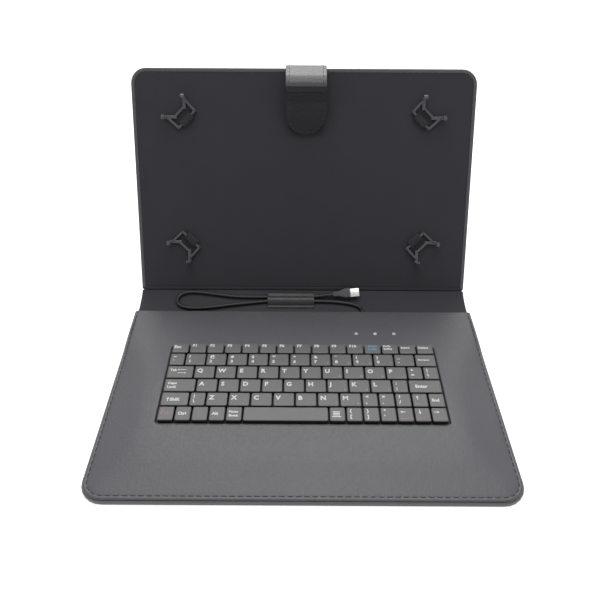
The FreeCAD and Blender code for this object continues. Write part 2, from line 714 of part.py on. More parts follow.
# the panel under the lining has a channel for each hook's elastic, and the lining a slit
hook_panel_foot = f"(skin + lid_board + {lid_back})"
guide_panel = panel("hook_card", "case_width - 2 * skin - 2 * seat_gap", "panel_depth - skin - seat_gap",
                    f"-lining - {hook_panel_foot}", "skin + seat_gap - case_width / 2", "0",
                    hook_panel_foot, size("spine_corner"), inner_corner)
lid_cloth = panel("lid_cloth", "case_width", "panel_depth", "lining_rim", "-case_width / 2", "0",
                  "-lining_rim", size("spine_corner"), outer_corner)
lid_cloth = rounded("lid_cloth_round", lid_cloth, at_level(0.0, size("edge_round")))
cloth_bed = panel("cloth_bed", "case_width - 2 * skin", "2 * panel_depth", "lining_rim",
                  "skin - case_width / 2", "-panel_depth - skin", "-lining_rim - lining", 0, inner_corner)
back_step = size("hook_depth") * math.sqrt(0.5)
CORNERS = {
    "top_left": (-1, 1),
    "top_right": (1, 1),
    "bottom_left": (-1, -1),
    "bottom_right": (1, -1),
}


def hook_place(side, rise):
    """A hook's own frame on the lid: origin at its inner bar, Y straight out along the corner's diagonal."""
    at = V(side * (size("hook_out") - back_step), size("hook_middle") + rise * (size("hook_up") - back_step), 0)
    outward = math.degrees(math.atan2(rise, side))
    return FreeCAD.Placement(at, FreeCAD.Rotation(V(0, 0, 1), outward - 90))


elastic = size("elastic")
slit_gap = size("slit_gap")
riser = size("elastic_riser")
channels, slits = [], []
for corner, (side, rise) in CORNERS.items():
    channel = box(f"channel_{corner}", "elastic_width + 1", "elastic_tail", "lid_thickness",
                  "-elastic_width / 2 - 0.5", f"{-riser + slit_gap} - elastic_tail", "-lid_thickness / 2")
    slit = box(f"slit_{corner}", "elastic_width + 1", f"elastic + {2 * slit_gap}", "lid_thickness",
               "-elastic_width / 2 - 0.5", f"{-riser - slit_gap} - elastic", "-lid_thickness / 2")
    doc.recompute()
    for tool, kept in ((channel, channels), (slit, slits)):
        shape = tool.Shape.copy()
        shape.Placement = hook_place(side, rise).multiply(shape.Placement)
        kept.append(solid(f"{tool.Name}_placed", shape))
shelf = box("channel_shelf", "case_width", "panel_depth", "lid_thickness", "-case_width / 2", "0",
            f"{hook_panel_foot} + 0.2 - lid_thickness")
channel_cut = cut("channel_cut", fuse("channel_set", channels), [shelf])
node("hook_panel", cut("hook_card_cut", guide_panel, [channel_cut]), LID)
node("lid_lining", cut("lid_cloth_cut", lid_cloth, [cloth_bed] + slits), LID)


def arm_frame(side):
    """Start of a hook's arm, its direction and the direction across it."""
    start = (side * (size("hook_outer") / 2 - 1.0), size("hook_depth") - 1.4)
    d = math.sqrt(0.5)
    return start, (side * d, d), (d, -side * d)


def arm_quad(side, near, far, width):
    start, on, across = arm_frame(side)

    def at(length, wide_by):
        return tuple(s + o * length + a * wide_by for s, o, a in zip(start, on, across))

    return [at(near, -width / 2), at(far, -width / 2), at(far, width / 2), at(near, width / 2)]


def corner_hook(name):
    """An open frame that its elastic loops into, and two arms whose prongs catch the tablet's edges."""
    body = body_of(name)
    inner, outer, depth, bar = (size(k) for k in ("hook_inner", "hook_outer", "hook_depth", "hook_bar"))
    lift = size("hook_lift")
    frame = sketch_on(body, "XY_Plane", name + "_frame", lift)
    draw(frame, [(-inner / 2, 0), (inner / 2, 0), (outer / 2, depth), (-outer / 2, depth)])
    draw(frame, [(bar - inner / 2 + 0.4, bar), (inner / 2 - bar - 0.4, bar),
                 (outer / 2 - bar + 0.6, depth - bar), (bar - outer / 2 - 0.6, depth - bar)])
    pad(body, frame, name + "_frame_pad", "hook_plate")
    arms = sketch_on(body, "XY_Plane", name + "_arms", lift)
    prongs = sketch_on(body, "XY_Plane", name + "_prongs", lift)
    lips = sketch_on(body, "XY_Plane", name + "_lips", size("hook_height") - size("hook_lip_height"))
    reach, thick = size("hook_arm"), size("prong")
    for side in (-1, 1):
        draw(arms, arm_quad(side, 0.0, reach, size("hook_arm_width")))
        draw(prongs, arm_quad(side, reach - thick, reach, size("prong_width")))
        draw(lips, arm_quad(side, reach - thick - size("hook_lip"), reach, size("prong_width")))
    pad(body, arms, name + "_arms_pad", "hook_plate")
    pad(body, prongs, name + "_prongs_pad", "hook_height - hook_lift")
    pad(body, lips, name + "_lips_pad", "hook_lip_height")
    return body


def hook_elastic(name):
    """A flat elastic: its tail lies in the channel, and its end comes up the slit and over the inner bar."""
    top = size("hook_lift") + size("hook_plate") + 0.2
    low = hook_floor + 0.4
    far = size("hook_bar") + 0.2
    return strip(name, [
        (-size("elastic_tail") + 1, low), (-riser, low), (-riser, top), (far, top), (far, 0.6),
        (far + elastic, 0.6), (far + elastic, top + elastic), (-riser - elastic, top + elastic),
        (-riser - elastic, low + elastic), (-size("elastic_tail") + 1, low + elastic),
    ], "elastic_width")


hook_floor = skin + size("lid_board") - size("lid_thickness")
for corner, (side, rise) in CORNERS.items():
    node(f"hook_{corner}", corner_hook(f"claw_{corner}"), LID.multiply(hook_place(side, rise)))
    node(f"hook_elastic_{corner}", hook_elastic(f"band_{corner}"), LID.multiply(hook_place(side, rise)))

# Leg: the flap of the outer skin that swings out behind the lid until its foot meets the table

axis_point = LID.multVec(leg_axis)
foot_reach = math.hypot(leg_foot_end, hinge_radius)
foot_tilt = math.atan2(hinge_radius, leg_foot_end)
leg_open = size("lid_angle") + math.degrees(math.acos(axis_point.z / foot_reach) + foot_tilt)
LEG = LID.multiply(FreeCAD.Placement(leg_axis, FreeCAD.Rotation(V(1, 0, 0), leg_open)))
print("leg open by", round(leg_open, 3), "axis", [round(c, 4) for c in axis_point])
leg_skin = leg_plate("leg_skin", 0.0, 0.0, leg_foot_end, "skin", -hinge_radius)
leg_bead = rod("leg_bead", "skin / 2", "leg_top", "-leg_top / 2", "0", "0", V(1, 0, 0))
node("leg_skin", fuse("leg_flap", [leg_skin, leg_bead]), LEG)
node("leg_board", leg_plate("leg_card", -1.5, -2.0, leg_foot_end - 1.5, "leg_board", hinge_radius), LEG)

# Closure strap: sewn root on the lid's back, bridge over the lid's top edge, and the tab with its magnet

band_half = size("strap") / 2
lid_top = size("panel_depth")
root_level = -size("lid_thickness")
root = body_of("strap_root_sheet")
root_outline = sketch_on(root, "XY_Plane", "root_outline", root_level - size("strap"))
root_top = lid_top + 0.2
root_low = lid_top - size("strap_root")
w = size("strap_width") / 2
r = size("strap_root_corner")
slip = r * (1 - math.sqrt(0.5))
draw(root_outline, [(-w, root_top), (-w, root_low + r), ((slip - w, root_low + slip), (r - w, root_low)),
                    (w - r, root_low), ((w - slip, root_low + slip), (w, root_low + r)), (w, root_top)])
pad(root, root_outline, "root_pad", "strap")
STRAP = LID.multiply(FreeCAD.Placement(V(size("strap_middle"), 0, 0), FreeCAD.Rotation()))
node("strap_root", root, STRAP)

bridge_axis = (lid_top + 0.3 + band_half, root_level - band_half)
bend = size("strap_bend")
bend_centre = (bridge_axis[0] - bend, 0.0)
tab_axis = (bend_centre[0], bend)
node("strap_bridge", strip("bridge_sheet", [
    (bridge_axis[0] + band_half, bridge_axis[1]),
    (bridge_axis[0] + band_half, 0.0),
    (polar(bend_centre, bend + band_half, 45), (tab_axis[0], tab_axis[1] + band_half)),
    ((tab_axis[0] - band_half, tab_axis[1]), (tab_axis[0], tab_axis[1] - band_half)),
    (polar(bend_centre, bend - band_half, 45), (bridge_axis[0] - band_half, 0.0)),
    (bridge_axis[0] - band_half, bridge_axis[1]),
    ((bridge_axis[0], bridge_axis[1] - band_half), (bridge_axis[0] + band_half, bridge_axis[1])),
], "strap_width"), STRAP)

TAB = STRAP.multiply(FreeCAD.Placement(V(0, *tab_axis), FreeCAD.Rotation(V(1, 0, 0), size("lid_angle"))))
tab_body = body_of("tab_sheet")
tab_outline = sketch_on(tab_body, "XY_Plane", "tab_outline", -size("tab_thickness") / 2)
tab_top = -band_half - size("strap_gap")
tab_low = tab_top - size("tab_length")
r = size("tab_corner")
slip = r * (1 - math.sqrt(0.5))
draw(tab_outline, [(-w, tab_top), (-w, tab_low + r), ((slip - w, tab_low + slip), (r - w, tab_low)),
                   (w - r, tab_low), ((w - slip, tab_low + slip), (w, tab_low + r)), (w, tab_top)])
pad(tab_body, tab_outline, "tab_pad", "tab_thickness")
magnet_at = tab_low + size("tab_corner") + 1.0
well = sketch_on(tab_body, "XY_Plane", "magnet_well", -size("tab_thickness") / 2)
well.addGeometry(Part.Circle(V(0, magnet_at, 0), V(0, 0, 1), size("magnet_radius") + 0.1), False)
pocket(tab_body, well, "magnet_pocket", "magnet + 0.1", reverse=True)
node("strap_tab", tab_body, TAB)
magnet = body_of("magnet_disc")
disc = sketch_on(magnet, "XY_Plane", "magnet_outline", -size("tab_thickness") / 2)
disc.addGeometry(Part.Circle(V(0, magnet_at, 0), V(0, 0, 1), size("magnet_radius")), False)
pad(magnet, disc, "magnet_pad", "magnet")
node("strap_magnet", magnet, TAB)

doc.recompute()
print("fold A", fold_a, "fold B", tuple(round(c, 4) for c in fold_b), "spine slope", round(slope, 3))
for name, axis in (("bridge", V(0, *bridge_axis)), ("tab", V(0, *tab_axis))):
    print(name, "axis", [round(c, 4) for c in STRAP.multVec(axis)])

failed = [o.Name for o in doc.Objects if "Invalid" in o.State or "Error" in o.State]
if failed:
    raise RuntimeError(f"these objects failed: {failed}")
for label, obj in NODES.items():
    if obj.Shape.isNull() or not obj.Shape.isValid() or not obj.Shape.Solids:
        raise RuntimeError(f"{label} has no valid solid")

os.makedirs("parts", exist_ok=True)
for label, obj in NODES.items():
    obj.Shape.exportStep(f"parts/{label}.step")
print(len(NODES), "sub-parts,", len(KEYS), "keys")
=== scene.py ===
import math

import bmesh
import bpy
from mathutils import Matrix, Vector


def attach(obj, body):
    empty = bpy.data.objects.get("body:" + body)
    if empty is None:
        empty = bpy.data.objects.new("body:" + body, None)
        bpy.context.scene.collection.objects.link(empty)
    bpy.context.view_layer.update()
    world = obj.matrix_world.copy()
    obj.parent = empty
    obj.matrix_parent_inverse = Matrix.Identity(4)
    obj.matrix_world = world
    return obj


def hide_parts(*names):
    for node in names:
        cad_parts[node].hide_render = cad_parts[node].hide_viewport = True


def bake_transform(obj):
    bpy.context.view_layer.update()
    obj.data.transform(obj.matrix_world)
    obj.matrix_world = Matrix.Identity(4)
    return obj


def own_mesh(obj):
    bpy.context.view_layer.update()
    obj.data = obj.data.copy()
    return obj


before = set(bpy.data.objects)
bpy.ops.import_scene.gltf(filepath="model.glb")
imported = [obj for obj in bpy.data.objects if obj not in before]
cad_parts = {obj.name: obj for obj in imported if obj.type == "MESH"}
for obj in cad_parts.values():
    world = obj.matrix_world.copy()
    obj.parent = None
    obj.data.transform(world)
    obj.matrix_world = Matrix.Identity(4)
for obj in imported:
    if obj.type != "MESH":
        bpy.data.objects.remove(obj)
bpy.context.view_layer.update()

# A folding tablet case, open on a table. Sizes below are in millimetres, as in the CAD source, and become
# metres where a mesh is made. The lid and what is on it are drawn flat, in the lid's own frame, and then
# leant back.

MM = 0.001
LEAN = 24.0
LEG_OPEN = 36.591
LID = Matrix.Translation((0, 0.115, 0.008)) @ Matrix.Rotation(math.radians(90 - LEAN), 4, "X")
LEG = LID @ Matrix.Translation((0, 0.130, -0.0054)) @ Matrix.Rotation(math.radians(LEG_OPEN), 4, "X")
FLAT = Matrix.Identity(4)

CASE_HALF = 135.0
PANEL_HALF = 88.5
PANEL = 177.0
CORNER = 12.0
FOLD_CORNER = 2.0
SHARP, SLIVER = 0.2, 0.05
# steps of a loop along each corner's arc and along each side
ARC_STEPS, SIDE_STEPS = 6, 6
LEG_FOOT, LEG_TOP, LEG_DROP, LEG_CORNER = 36.0, 42.0, 127.5, 10.0
FOLD_A = (91.5, 0.6)
FOLD_B = (119.323, 4.4333)


# Shapes

def in_scene(name, data):
    """A new object of the scene."""
    made = bpy.data.objects.new(name, data)
    bpy.context.scene.collection.objects.link(made)
    return made


def corner_loop(low_half, low, low_radius, high_half, high, high_radius, side=SIDE_STEPS, arc=ARC_STEPS):
    """A closed loop round four corners, anticlockwise from the low left one and alike on both sides of X = 0.
    Loops of the same counts can be bridged."""
    spots = [Vector(p) for p in ((-low_half, low), (low_half, low), (high_half, high), (-high_half, high))]
    radii = (low_radius, low_radius, high_radius, high_radius)
    loop = []
    for i, (here, radius) in enumerate(zip(spots, radii)):
        following, second = spots[(i + 1) % 4], spots[(i + 2) % 4]
        back, on = (spots[i - 1] - here).normalized(), (following - here).normalized()
        half = back.angle(on) / 2
        reach = radius / math.tan(half)
        centre = here + (back + on).normalized() * (radius / math.sin(half))
        start, end = here + back * reach - centre, here + on * reach - centre
        sweep = math.atan2(start.x * end.y - start.y * end.x, start.dot(end))
        loop += [centre + Matrix.Rotation(sweep * k / arc, 2) @ start for k in range(arc + 1)]
        reach_on = radii[(i + 1) % 4] / math.tan((-on).angle((second - following).normalized()) / 2)
        first, last = here + on * reach, following - on * reach_on
        loop += [first.lerp(last, k / side) for k in range(1, side)]
    return [(p.x, p.y) for p in loop]


def lid_loop(inset, low=0.0, low_inset=None):
    """The lid's rounded outline, drawn in by one distance, or by another at its low end."""
    near = inset if low_inset is None else low_inset
    half = CASE_HALF - inset
    r_low, r_high = max(FOLD_CORNER - inset, SHARP), max(CORNER - inset, SHARP)
    return corner_loop(half, low + near, r_low, half, PANEL - inset, r_high)


def leg_loop(grow, top):
    """The leg seen from behind, hanging from its fold line at Y = 0."""
    return corner_loop(LEG_FOOT + grow, -LEG_DROP - grow, LEG_CORNER + grow, LEG_TOP + grow, top, SHARP)


def build(name, verts, faces, place=FLAT):
    """A mesh object from millimetre points, in its place, with its faces turned outwards."""
    mesh = bpy.data.meshes.new(name)
    mesh.from_pydata([place @ (Vector(v) * MM) for v in verts], [], faces)
    made = bmesh.new()
    made.from_mesh(mesh)
    bmesh.ops.recalc_face_normals(made, faces=made.faces)
    made.to_mesh(mesh)
    made.free()
    mesh.shade_smooth()
    return in_scene(name, mesh)


def skin(rings, closed=False):
    """Points and faces over a row of loops; the row either closes on itself or is capped at both ends."""
    count = len(rings[0])
    verts = [p for ring in rings for p in ring]
    faces = []
    for r in range(len(rings) if closed else len(rings) - 1):
        a, b = r * count, (r + 1) % len(rings) * count
        faces += [(a + k, a + (k + 1) % count, b + (k + 1) % count, b + k) for k in range(count)]
    if not closed:
        faces += [tuple(range(count)), tuple(range(len(verts) - count, len(verts)))]
    return verts, faces


def shell(name, rings, place=FLAT, closed=False):
    return build(name, *skin(rings, closed), place)


def lifted(loop, z):
    return [(x, y, z) for x, y in loop]


def headings(path):
    """Each point of a path in the YZ plane, with the direction that the path has there."""
    for i, (y, z) in enumerate(path):
        before, after = path[max(i - 1, 0)], path[min(i + 1, len(path) - 1)]
        yield y, z, Vector((after[0] - before[0], after[1] - before[1])).normalized()


def ribbon(name, path, half_width, thickness, middle=0.0, place=FLAT, edge=0.35, across=10):
    """A soft band whose length follows a path in the YZ plane; half_width is a number, or a list with one
    for each point."""
    widths = half_width if isinstance(half_width, list) else [half_width] * len(path)
    half = thickness / 2
    rings = []
    for (y, z, along), width in zip(headings(path), widths):
        w = max(width, edge + SLIVER)
        profile = corner_loop(w, -half, edge, w, half, edge, across, 3)
        rings.append([(middle + px, y - along.y * pz, z + along.x * pz) for px, pz in profile])
    made = shell(name, rings, place)
    made.data.set_sharp_from_angle(angle=math.radians(55))
    return made


def arc_path(centre, radius, start, end, steps):
    turn = [math.radians(start + (end - start) * k / steps) for k in range(steps + 1)]
    return [(centre[0] + radius * math.cos(a), centre[1] + radius * math.sin(a)) for a in turn]


def straight(a, b, steps):
    return [tuple(p + (q - p) * k / steps for p, q in zip(a, b)) for k in range(steps + 1)]


def joined(*runs):
    """One path from several, each starting where the one before it ends."""
    path = list(runs[0])
    for run in runs[1:]:
        path += run[1:]
    return path


def smooth_path(points, steps):
    """A smooth curve through the given points."""
    path = []
    for i in range(len(points) - 1):
        p0, p1, p2, p3 = (Vector(points[min(max(i + k, 0), len(points) - 1)]) for k in (-1, 0, 1, 2))
        for k in range(steps):
            t = k / steps
            path.append(0.5 * (2 * p1 + (p2 - p0) * t + (2 * p0 - 5 * p1 + 4 * p2 - p3) * t ** 2
                               + (3 * p1 - p0 - 3 * p2 + p3) * t ** 3))
    return [tuple(p) for p in path] + [tuple(points[-1])]


def cad_copy(name, node, bevel=0.0):
    """A merged copy of a moulded CAD node's mesh, with its edges rounded."""
    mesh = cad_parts[node].data.copy()
    mesh.name = name
    mesh.materials.clear()
    made = bmesh.new()
    made.from_mesh(mesh)
    bmesh.ops.remove_doubles(made, verts=made.verts, dist=1e-6)
    bmesh.ops.dissolve_limit(made, angle_limit=math.radians(1.0), verts=made.verts, edges=made.edges)
    if bevel:
        sharp = [e for e in made.edges if len(e.link_faces) == 2 and e.calc_face_angle(0) > math.radians(28)]
        bmesh.ops.bevel(made, geom=sharp, offset=bevel * MM, segments=2, profile=0.5, affect="EDGES",
                        clamp_overlap=True)
    made.to_mesh(mesh)
    made.free()
    mesh.shade_smooth()
    mesh.set_sharp_from_angle(angle=math.radians(50))
    return in_scene(name, mesh)


def join_meshes(name, pieces):
    """One object from several at the origin."""
    made = bmesh.new()
    for piece in pieces:
        made.from_mesh(piece.data)
        bpy.data.objects.remove(piece)
    mesh = bpy.data.meshes.new(name)
    made.to_mesh(mesh)
    made.free()
    return in_scene(name, mesh)


# Finishes

def colour(text):
    """An sRGB hex colour as linear RGBA."""
    parts = [int(text[i:i + 2], 16) / 255 for i in (1, 3, 5)]
    return tuple(c / 12.92 if c <= 0.04045 else ((c + 0.055) / 1.055) ** 2.4 for c in parts) + (1.0,)


def feed(tree, node, key, value):
    """Gives one input of a node a number, a colour or another node's output."""
    if isinstance(value, bpy.types.NodeSocket):
        tree.links.new(value, node.inputs[key])
    else:
        node.inputs[key].default_value = value


def add(tree, kind, inputs=None, **settings):
    """A node with its settings and inputs."""
    made = tree.nodes.new(kind)
    for key, value in settings.items():
        setattr(made, key, value)
    for key, value in (inputs or {}).items():
        feed(tree, made, key, value)
    return made


def new_finish(name):
    """An empty material with its shader, its tree and the piece's own coordinates."""
    material = bpy.data.materials.new(name)
    material.use_nodes = True
    tree = material.node_tree
    shader = tree.nodes["Principled BSDF"]
    place = add(tree, "ShaderNodeTexCoord").outputs["Object"]
    return material, tree, shader, place


def per_mm(size):
    """A texture's scale for features of one size in millimetres."""
    return 1.0 / (size * MM)


def mottled(tree, place, low, high, patch):
    """A colour that drifts between two hex values over patches of one size in millimetres."""
    noise = add(tree, "ShaderNodeTexNoise", {"Vector": place, "Scale": per_mm(patch), "Detail": 3.0})
    ramp = add(tree, "ShaderNodeValToRGB", {"Fac": noise.outputs["Fac"]})
    for stop, position, text in zip(ramp.color_ramp.elements, (0.3, 0.7), (low, high)):
        stop.position, stop.color = position, colour(text)
    return ramp.outputs["Color"]


def set_inputs(tree, shader, **values):
    for key, value in values.items():
        feed(tree, shader, key.replace("_", " "), value)


def leather_finish(name, low, high, rough=(0.38, 0.48), grain=1.7, gloss=0.5):
    """PU-coated split leather, embossed with a pebble grain. The coating gives a soft grey haze.
    The real pebbles are about 0.7 mm; they are drawn coarser so that they show in the render."""
    material, tree, shader, place = new_finish(name)
    pebbles = add(tree, "ShaderNodeTexVoronoi", {"Vector": place, "Scale": per_mm(grain), "Smoothness": 0.6},
                  feature="SMOOTH_F1")
    creases = add(tree, "ShaderNodeTexNoise", {"Vector": place, "Scale": per_mm(grain * 0.45)})
    height = add(tree, "ShaderNodeMath", {0: pebbles.outputs["Distance"], 1: creases.outputs["Fac"]},
                 operation="ADD")
    bump = add(tree, "ShaderNodeBump", {"Height": height.outputs["Value"], "Strength": 0.32,
                                        "Distance": 0.25 * MM})
    shine = add(tree, "ShaderNodeMapRange", {"Value": pebbles.outputs["Distance"], "From Max": 0.8,
                                             "To Min": rough[0], "To Max": rough[1]})
    set_inputs(tree, shader, Base_Color=mottled(tree, place, low, high, patch=38),
               Roughness=shine.outputs["Result"], Normal=bump.outputs["Normal"], IOR=1.55,
               Specular_IOR_Level=gloss)
    return material


def nap_finish(name, low, high, fibre=0.9):
    """Microfibre lining with a short brushed nap: no gloss, a little sheen, and faint patches where it is
    stroked. The real fibres are about 0.1 mm; they are drawn coarser so that they show in the render.
    Grey board and foam, which hardly show, share it."""
    material, tree, shader, place = new_finish(name)
    fuzz = add(tree, "ShaderNodeTexNoise", {"Vector": place, "Scale": per_mm(fibre), "Detail": 4.0,
                                            "Roughness": 0.7})
    bump = add(tree, "ShaderNodeBump", {"Height": fuzz.outputs["Fac"], "Strength": 0.35,
                                        "Distance": 0.3 * MM})
    set_inputs(tree, shader, Base_Color=mottled(tree, place, low, high, patch=26), Roughness=0.92,
               Normal=bump.outputs["Normal"], Specular_IOR_Level=0.15, Sheen_Weight=0.12, Sheen_Roughness=0.5)
    return material


def moulded_finish(name, low, high, rough, grit=0.5, strength=0.12, gloss=0.5):
    """Injection-moulded ABS from a spark-eroded tool: an even fine grit under a dull shine.
    The real grit is about 0.1 mm; it is drawn coarser so that it shows in the render."""
    material, tree, shader, place = new_finish(name)
    speck = add(tree, "ShaderNodeTexNoise", {"Vector": place, "Scale": per_mm(grit)})
    bump = add(tree, "ShaderNodeBump", {"Height": speck.outputs["Fac"], "Strength": strength,
                                        "Distance": 0.1 * MM})
    set_inputs(tree, shader, Base_Color=mottled(tree, place, low, high, patch=9), Roughness=rough,
               Normal=bump.outputs["Normal"], IOR=1.49, Specular_IOR_Level=gloss)
    return material


def woven_finish(name, low, high, pitch):
    """Woven elastic and twisted thread: dull, with fine ribs across."""
    material, tree, shader, place = new_finish(name)
    ribs = add(tree, "ShaderNodeTexWave", {"Vector": place, "Scale": per_mm(pitch) / 6.283,
                                           "Distortion": 0.6}, wave_type="BANDS", bands_direction="X")
    bump = add(tree, "ShaderNodeBump", {"Height": ribs.outputs["Fac"], "Strength": 0.5, "Distance": 0.2 * MM})
    set_inputs(tree, shader, Base_Color=mottled(tree, place, low, high, patch=3), Roughness=0.85,
               Normal=bump.outputs["Normal"], Specular_IOR_Level=0.25)
    return material


def metal_finish(name, low, high, rough, line=0.3):
    """Nickel-plated drawn steel: bright, with drawing lines along the part.
    The real lines are below 0.1 mm; they are drawn coarser so that they show in the render."""
    material, tree, shader, place = new_finish(name)
    drawn = add(tree, "ShaderNodeMapping", {"Vector": place, "Scale": (0.15, 1.0, 1.0)})
    scratch = add(tree, "ShaderNodeTexNoise", {"Vector": drawn.outputs["Vector"], "Scale": per_mm(line)})
    shine = add(tree, "ShaderNodeMapRange", {"Value": scratch.outputs["Fac"], "To Min": rough,
                                             "To Max": rough + 0.15})
    set_inputs(tree, shader, Base_Color=mottled(tree, place, low, high, patch=4), Metallic=1.0,
               Roughness=shine.outputs["Result"])
    return material


def printed_finish(name, low, high):
    """Pad-printed ink, slightly uneven where it took to the grit of the key."""
    material, tree, shader, place = new_finish(name)
    set_inputs(tree, shader, Base_Color=mottled(tree, place, low, high, patch=0.8), Roughness=0.6)
    return material


leather = leather_finish("grained_pu_leather", "#4f4e53", "#535257")
# the panel's underside is the same leather as the rest, painted lighter: painted light on its front lip under
# the deck's edge
underside_leather_painted_light = leather_finish("underside_pu_leather_painted_light", "#66656a", "#6a696e")
strap_leather = leather_finish("strap_pu_leather", "#1f1e24", "#232228", (0.3, 0.38), gloss=0.22)
# the bridge over the lid's edge is the strap's own leather painted lighter, with more gloss: a painted
# highlight
bridge_leather_painted_sheen = leather_finish("bridge_pu_leather_painted_sheen", "#26252b", "#2a292f", (0.26, 0.34), gloss=0.66)
lining_nap = nap_finish("microfibre_lining", "#47464b", "#49484d")
band_leather = leather_finish("cable_band_leather", "#2a2a2d", "#303033", (0.28, 0.36), 1.2, 0.4)
# the caps are one dark plastic: their sides are painted darker as shade, and their tops lighter as a painted
# sheen
skirt_plastic_painted_shade = moulded_finish("keycap_skirt_painted_shade", "#121213", "#18181a", 0.5, gloss=0.25)
cap_plastic_painted_sheen = moulded_finish("keycap_top_painted_sheen", "#646464", "#686868", 0.38)
hook_plastic = moulded_finish("hook_abs", "#525257", "#5a5a5f", 0.24, 0.8, 0.08)
tray_plastic = moulded_finish("tray_abs", "#0c0c0d", "#121213", 0.6)
cable_pvc = moulded_finish("cable_pvc", "#131314", "#19191b", 0.48, 0.9)
grip_pvc = moulded_finish("plug_overmould", "#46464a", "#505054", 0.55, 0.7)
lens_plastic = moulded_finish("light_lens", "#d9d9d6", "#e8e8e4", 0.3, 0.8, 0.05)
film_plastic = moulded_finish("switch_film", "#9aa09c", "#a8aeaa", 0.4)
silicone = moulded_finish("dome_silicone", "#b4b6b6", "#c2c4c4", 0.45)
circuit = moulded_finish("circuit_laminate", "#1c5a34", "#24683e", 0.45)
foam_finish = nap_finish("open_foam", "#3a3a3c", "#464648", 0.6)
board_finish = nap_finish("grey_board", "#57524b", "#625d55", 1.4)
thread = woven_finish("sewing_thread", "#474749", "#515154", 0.4)
strap_thread = woven_finish("strap_sewing_thread", "#48484c", "#525256", 0.4)
elastic_weave = woven_finish("woven_elastic", "#3a3a3d", "#424245", 0.9)
plating = metal_finish("nickel_plate", "#b4b4b3", "#c8c8c6", 0.22)
white_ink = printed_finish("white_ink", "#e4e4e2", "#f0f0ee")
blue_ink = printed_finish("blue_ink", "#8a8ba6", "#9899b2")
cyan_ink = printed_finish("cyan_ink", "#5f9cb8", "#74aec6")
red_ink = printed_finish("red_ink", "#96767a", "#a28488")


def paint(mesh, material):
    mesh.materials.clear()
    mesh.materials.append(material)


def dress(piece, material, body=None, replaces=()):
    """Gives a finished piece its material, sets it on its body and hides the parts that it replaces."""
    paint(piece.data, material)
    if body:
        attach(piece, body)
    if replaces:
        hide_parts(*replaces)
    return piece


INNER = {
    "base_board": board_finish, "strap_keeper": plating, "keyboard_tray": tray_plastic,
    "switch_membrane": film_plastic, "key_plate": tray_plastic, "controller_board": circuit,
    "lid_board": board_finish, "hook_panel": board_finish, "leg_board": lining_nap, "strap_magnet": plating,
}
for node, material in INNER.items():
    paint(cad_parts[node].data, material)

# Camera, floor and light

view = bpy.data.cameras.new("camera")
view.sensor_width = 36.0
view.lens = 39.40
camera = in_scene("camera", view)
PITCH = 38.61
ROLL = 0.0053
camera.matrix_world = (Matrix.Translation((-0.00231, -0.321994, 0.346659))
                       @ Matrix.Rotation(math.radians(90 - PITCH), 4, "X") @ Matrix.Rotation(ROLL, 4, "Z"))
bpy.context.scene.camera = camera
bpy.context.scene.view_settings.view_transform = "Standard"


def shown_white(tree):
    """1 for the rays that should see plain white paper, 0 for those that carry its light."""
    ray = add(tree, "ShaderNodeLightPath").outputs
    either = add(tree, "ShaderNodeMath", {0: ray["Is Camera Ray"], 1: ray["Is Glossy Ray"]},
                 operation="MAXIMUM")
    return add(tree, "ShaderNodeMath", {0: either.outputs[0], 1: ray["Is Transmission Ray"]},
               operation="MAXIMUM").outputs[0]


FLOOR_HALF = 4000
floor = build("floor", [(x * FLOOR_HALF, y * FLOOR_HALF, 0) for x, y in ((-1, -1), (1, -1), (1, 1), (-1, 1))],
              [(0, 1, 2, 3)])
floor.location.z = -0.0002
paper, tree, shader, place = new_finish("white_paper")
white = add(tree, "ShaderNodeEmission", {"Color": colour("#ffffff"), "Strength": 0.72})
dull = add(tree, "ShaderNodeBsdfDiffuse", {"Color": mottled(tree, place, "#f4f4f4", "#f8f8f8", 300)})
both = add(tree, "ShaderNodeAddShader", {0: white.outputs[0], 1: dull.outputs[0]})
pick = add(tree, "ShaderNodeMixShader", {0: shown_white(tree), 1: dull.outputs[0], 2: both.outputs[0]})
tree.nodes.remove(shader)
tree.links.new(pick.outputs[0], tree.nodes["Material Output"].inputs["Surface"])
floor.data.materials.append(paper)

world = bpy.data.worlds.new("studio")
bpy.context.scene.world = world
world.use_nodes = True
sky = world.node_tree
level = add(sky, "ShaderNodeMapRange", {"Value": shown_white(sky), "To Min": 0.28, "To Max": 1.0})
set_inputs(sky, sky.nodes["Background"], Color=colour("#ffffff"), Strength=level.outputs["Result"])


def soft_light(name, place, aim, size, watts):
    lamp = bpy.data.lights.new(name, "AREA")
    lamp.shape = "RECTANGLE"
    lamp.size, lamp.size_y = size
    lamp.energy = watts
    made = in_scene(name, lamp)
    made.location = place
    made.rotation_mode = "QUATERNION"
    made.rotation_quaternion = (Vector(aim) - Vector(place)).to_track_quat("-Z", "Y")


soft_light("back_window", (0.0, 1.1, 1.2), (0, 0, 0), (1.3, 0.9), 11.0)
soft_light("overhead", (0.0, 0.12, 1.7), (0, 0.06, 0), (1.2, 1.2), 10.5)

# Cable, with its boot, plug and holding band

CABLE = [
    (48.4, 90.5, 5.1), (48.4, 95.0, 5.1), (44.2, 99.0, 5.3), (35.8, 101.7, 5.4), (24.0, 103.3, 5.6),
    (9.0, 103.5, 5.7), (-9.5, 103.4, 5.7), (-27.0, 103.7, 5.7), (-42.0, 101.4, 5.5), (-60.5, 98.6, 5.3),
    (-78.0, 94.8, 5.2), (-91.0, 93.8, 5.2), (-99.4, 96.0, 5.3), (-104.2, 101.4, 5.7), (-103.6, 108.2, 7.1),
    (-97.2, 111.7, 8.25), (-87.0, 111.8, 8.3), (-73.0, 109.8, 7.6), (-56.0, 107.4, 6.9), (-40.0, 107.5, 6.7),
    (-21.0, 107.7, 6.7), (-2.0, 107.4, 6.7), (11.0, 107.6, 7.5), (19.0, 107.8, 8.6), (25.3, 107.9, 9.3),
]
CABLE_RADIUS = 1.5


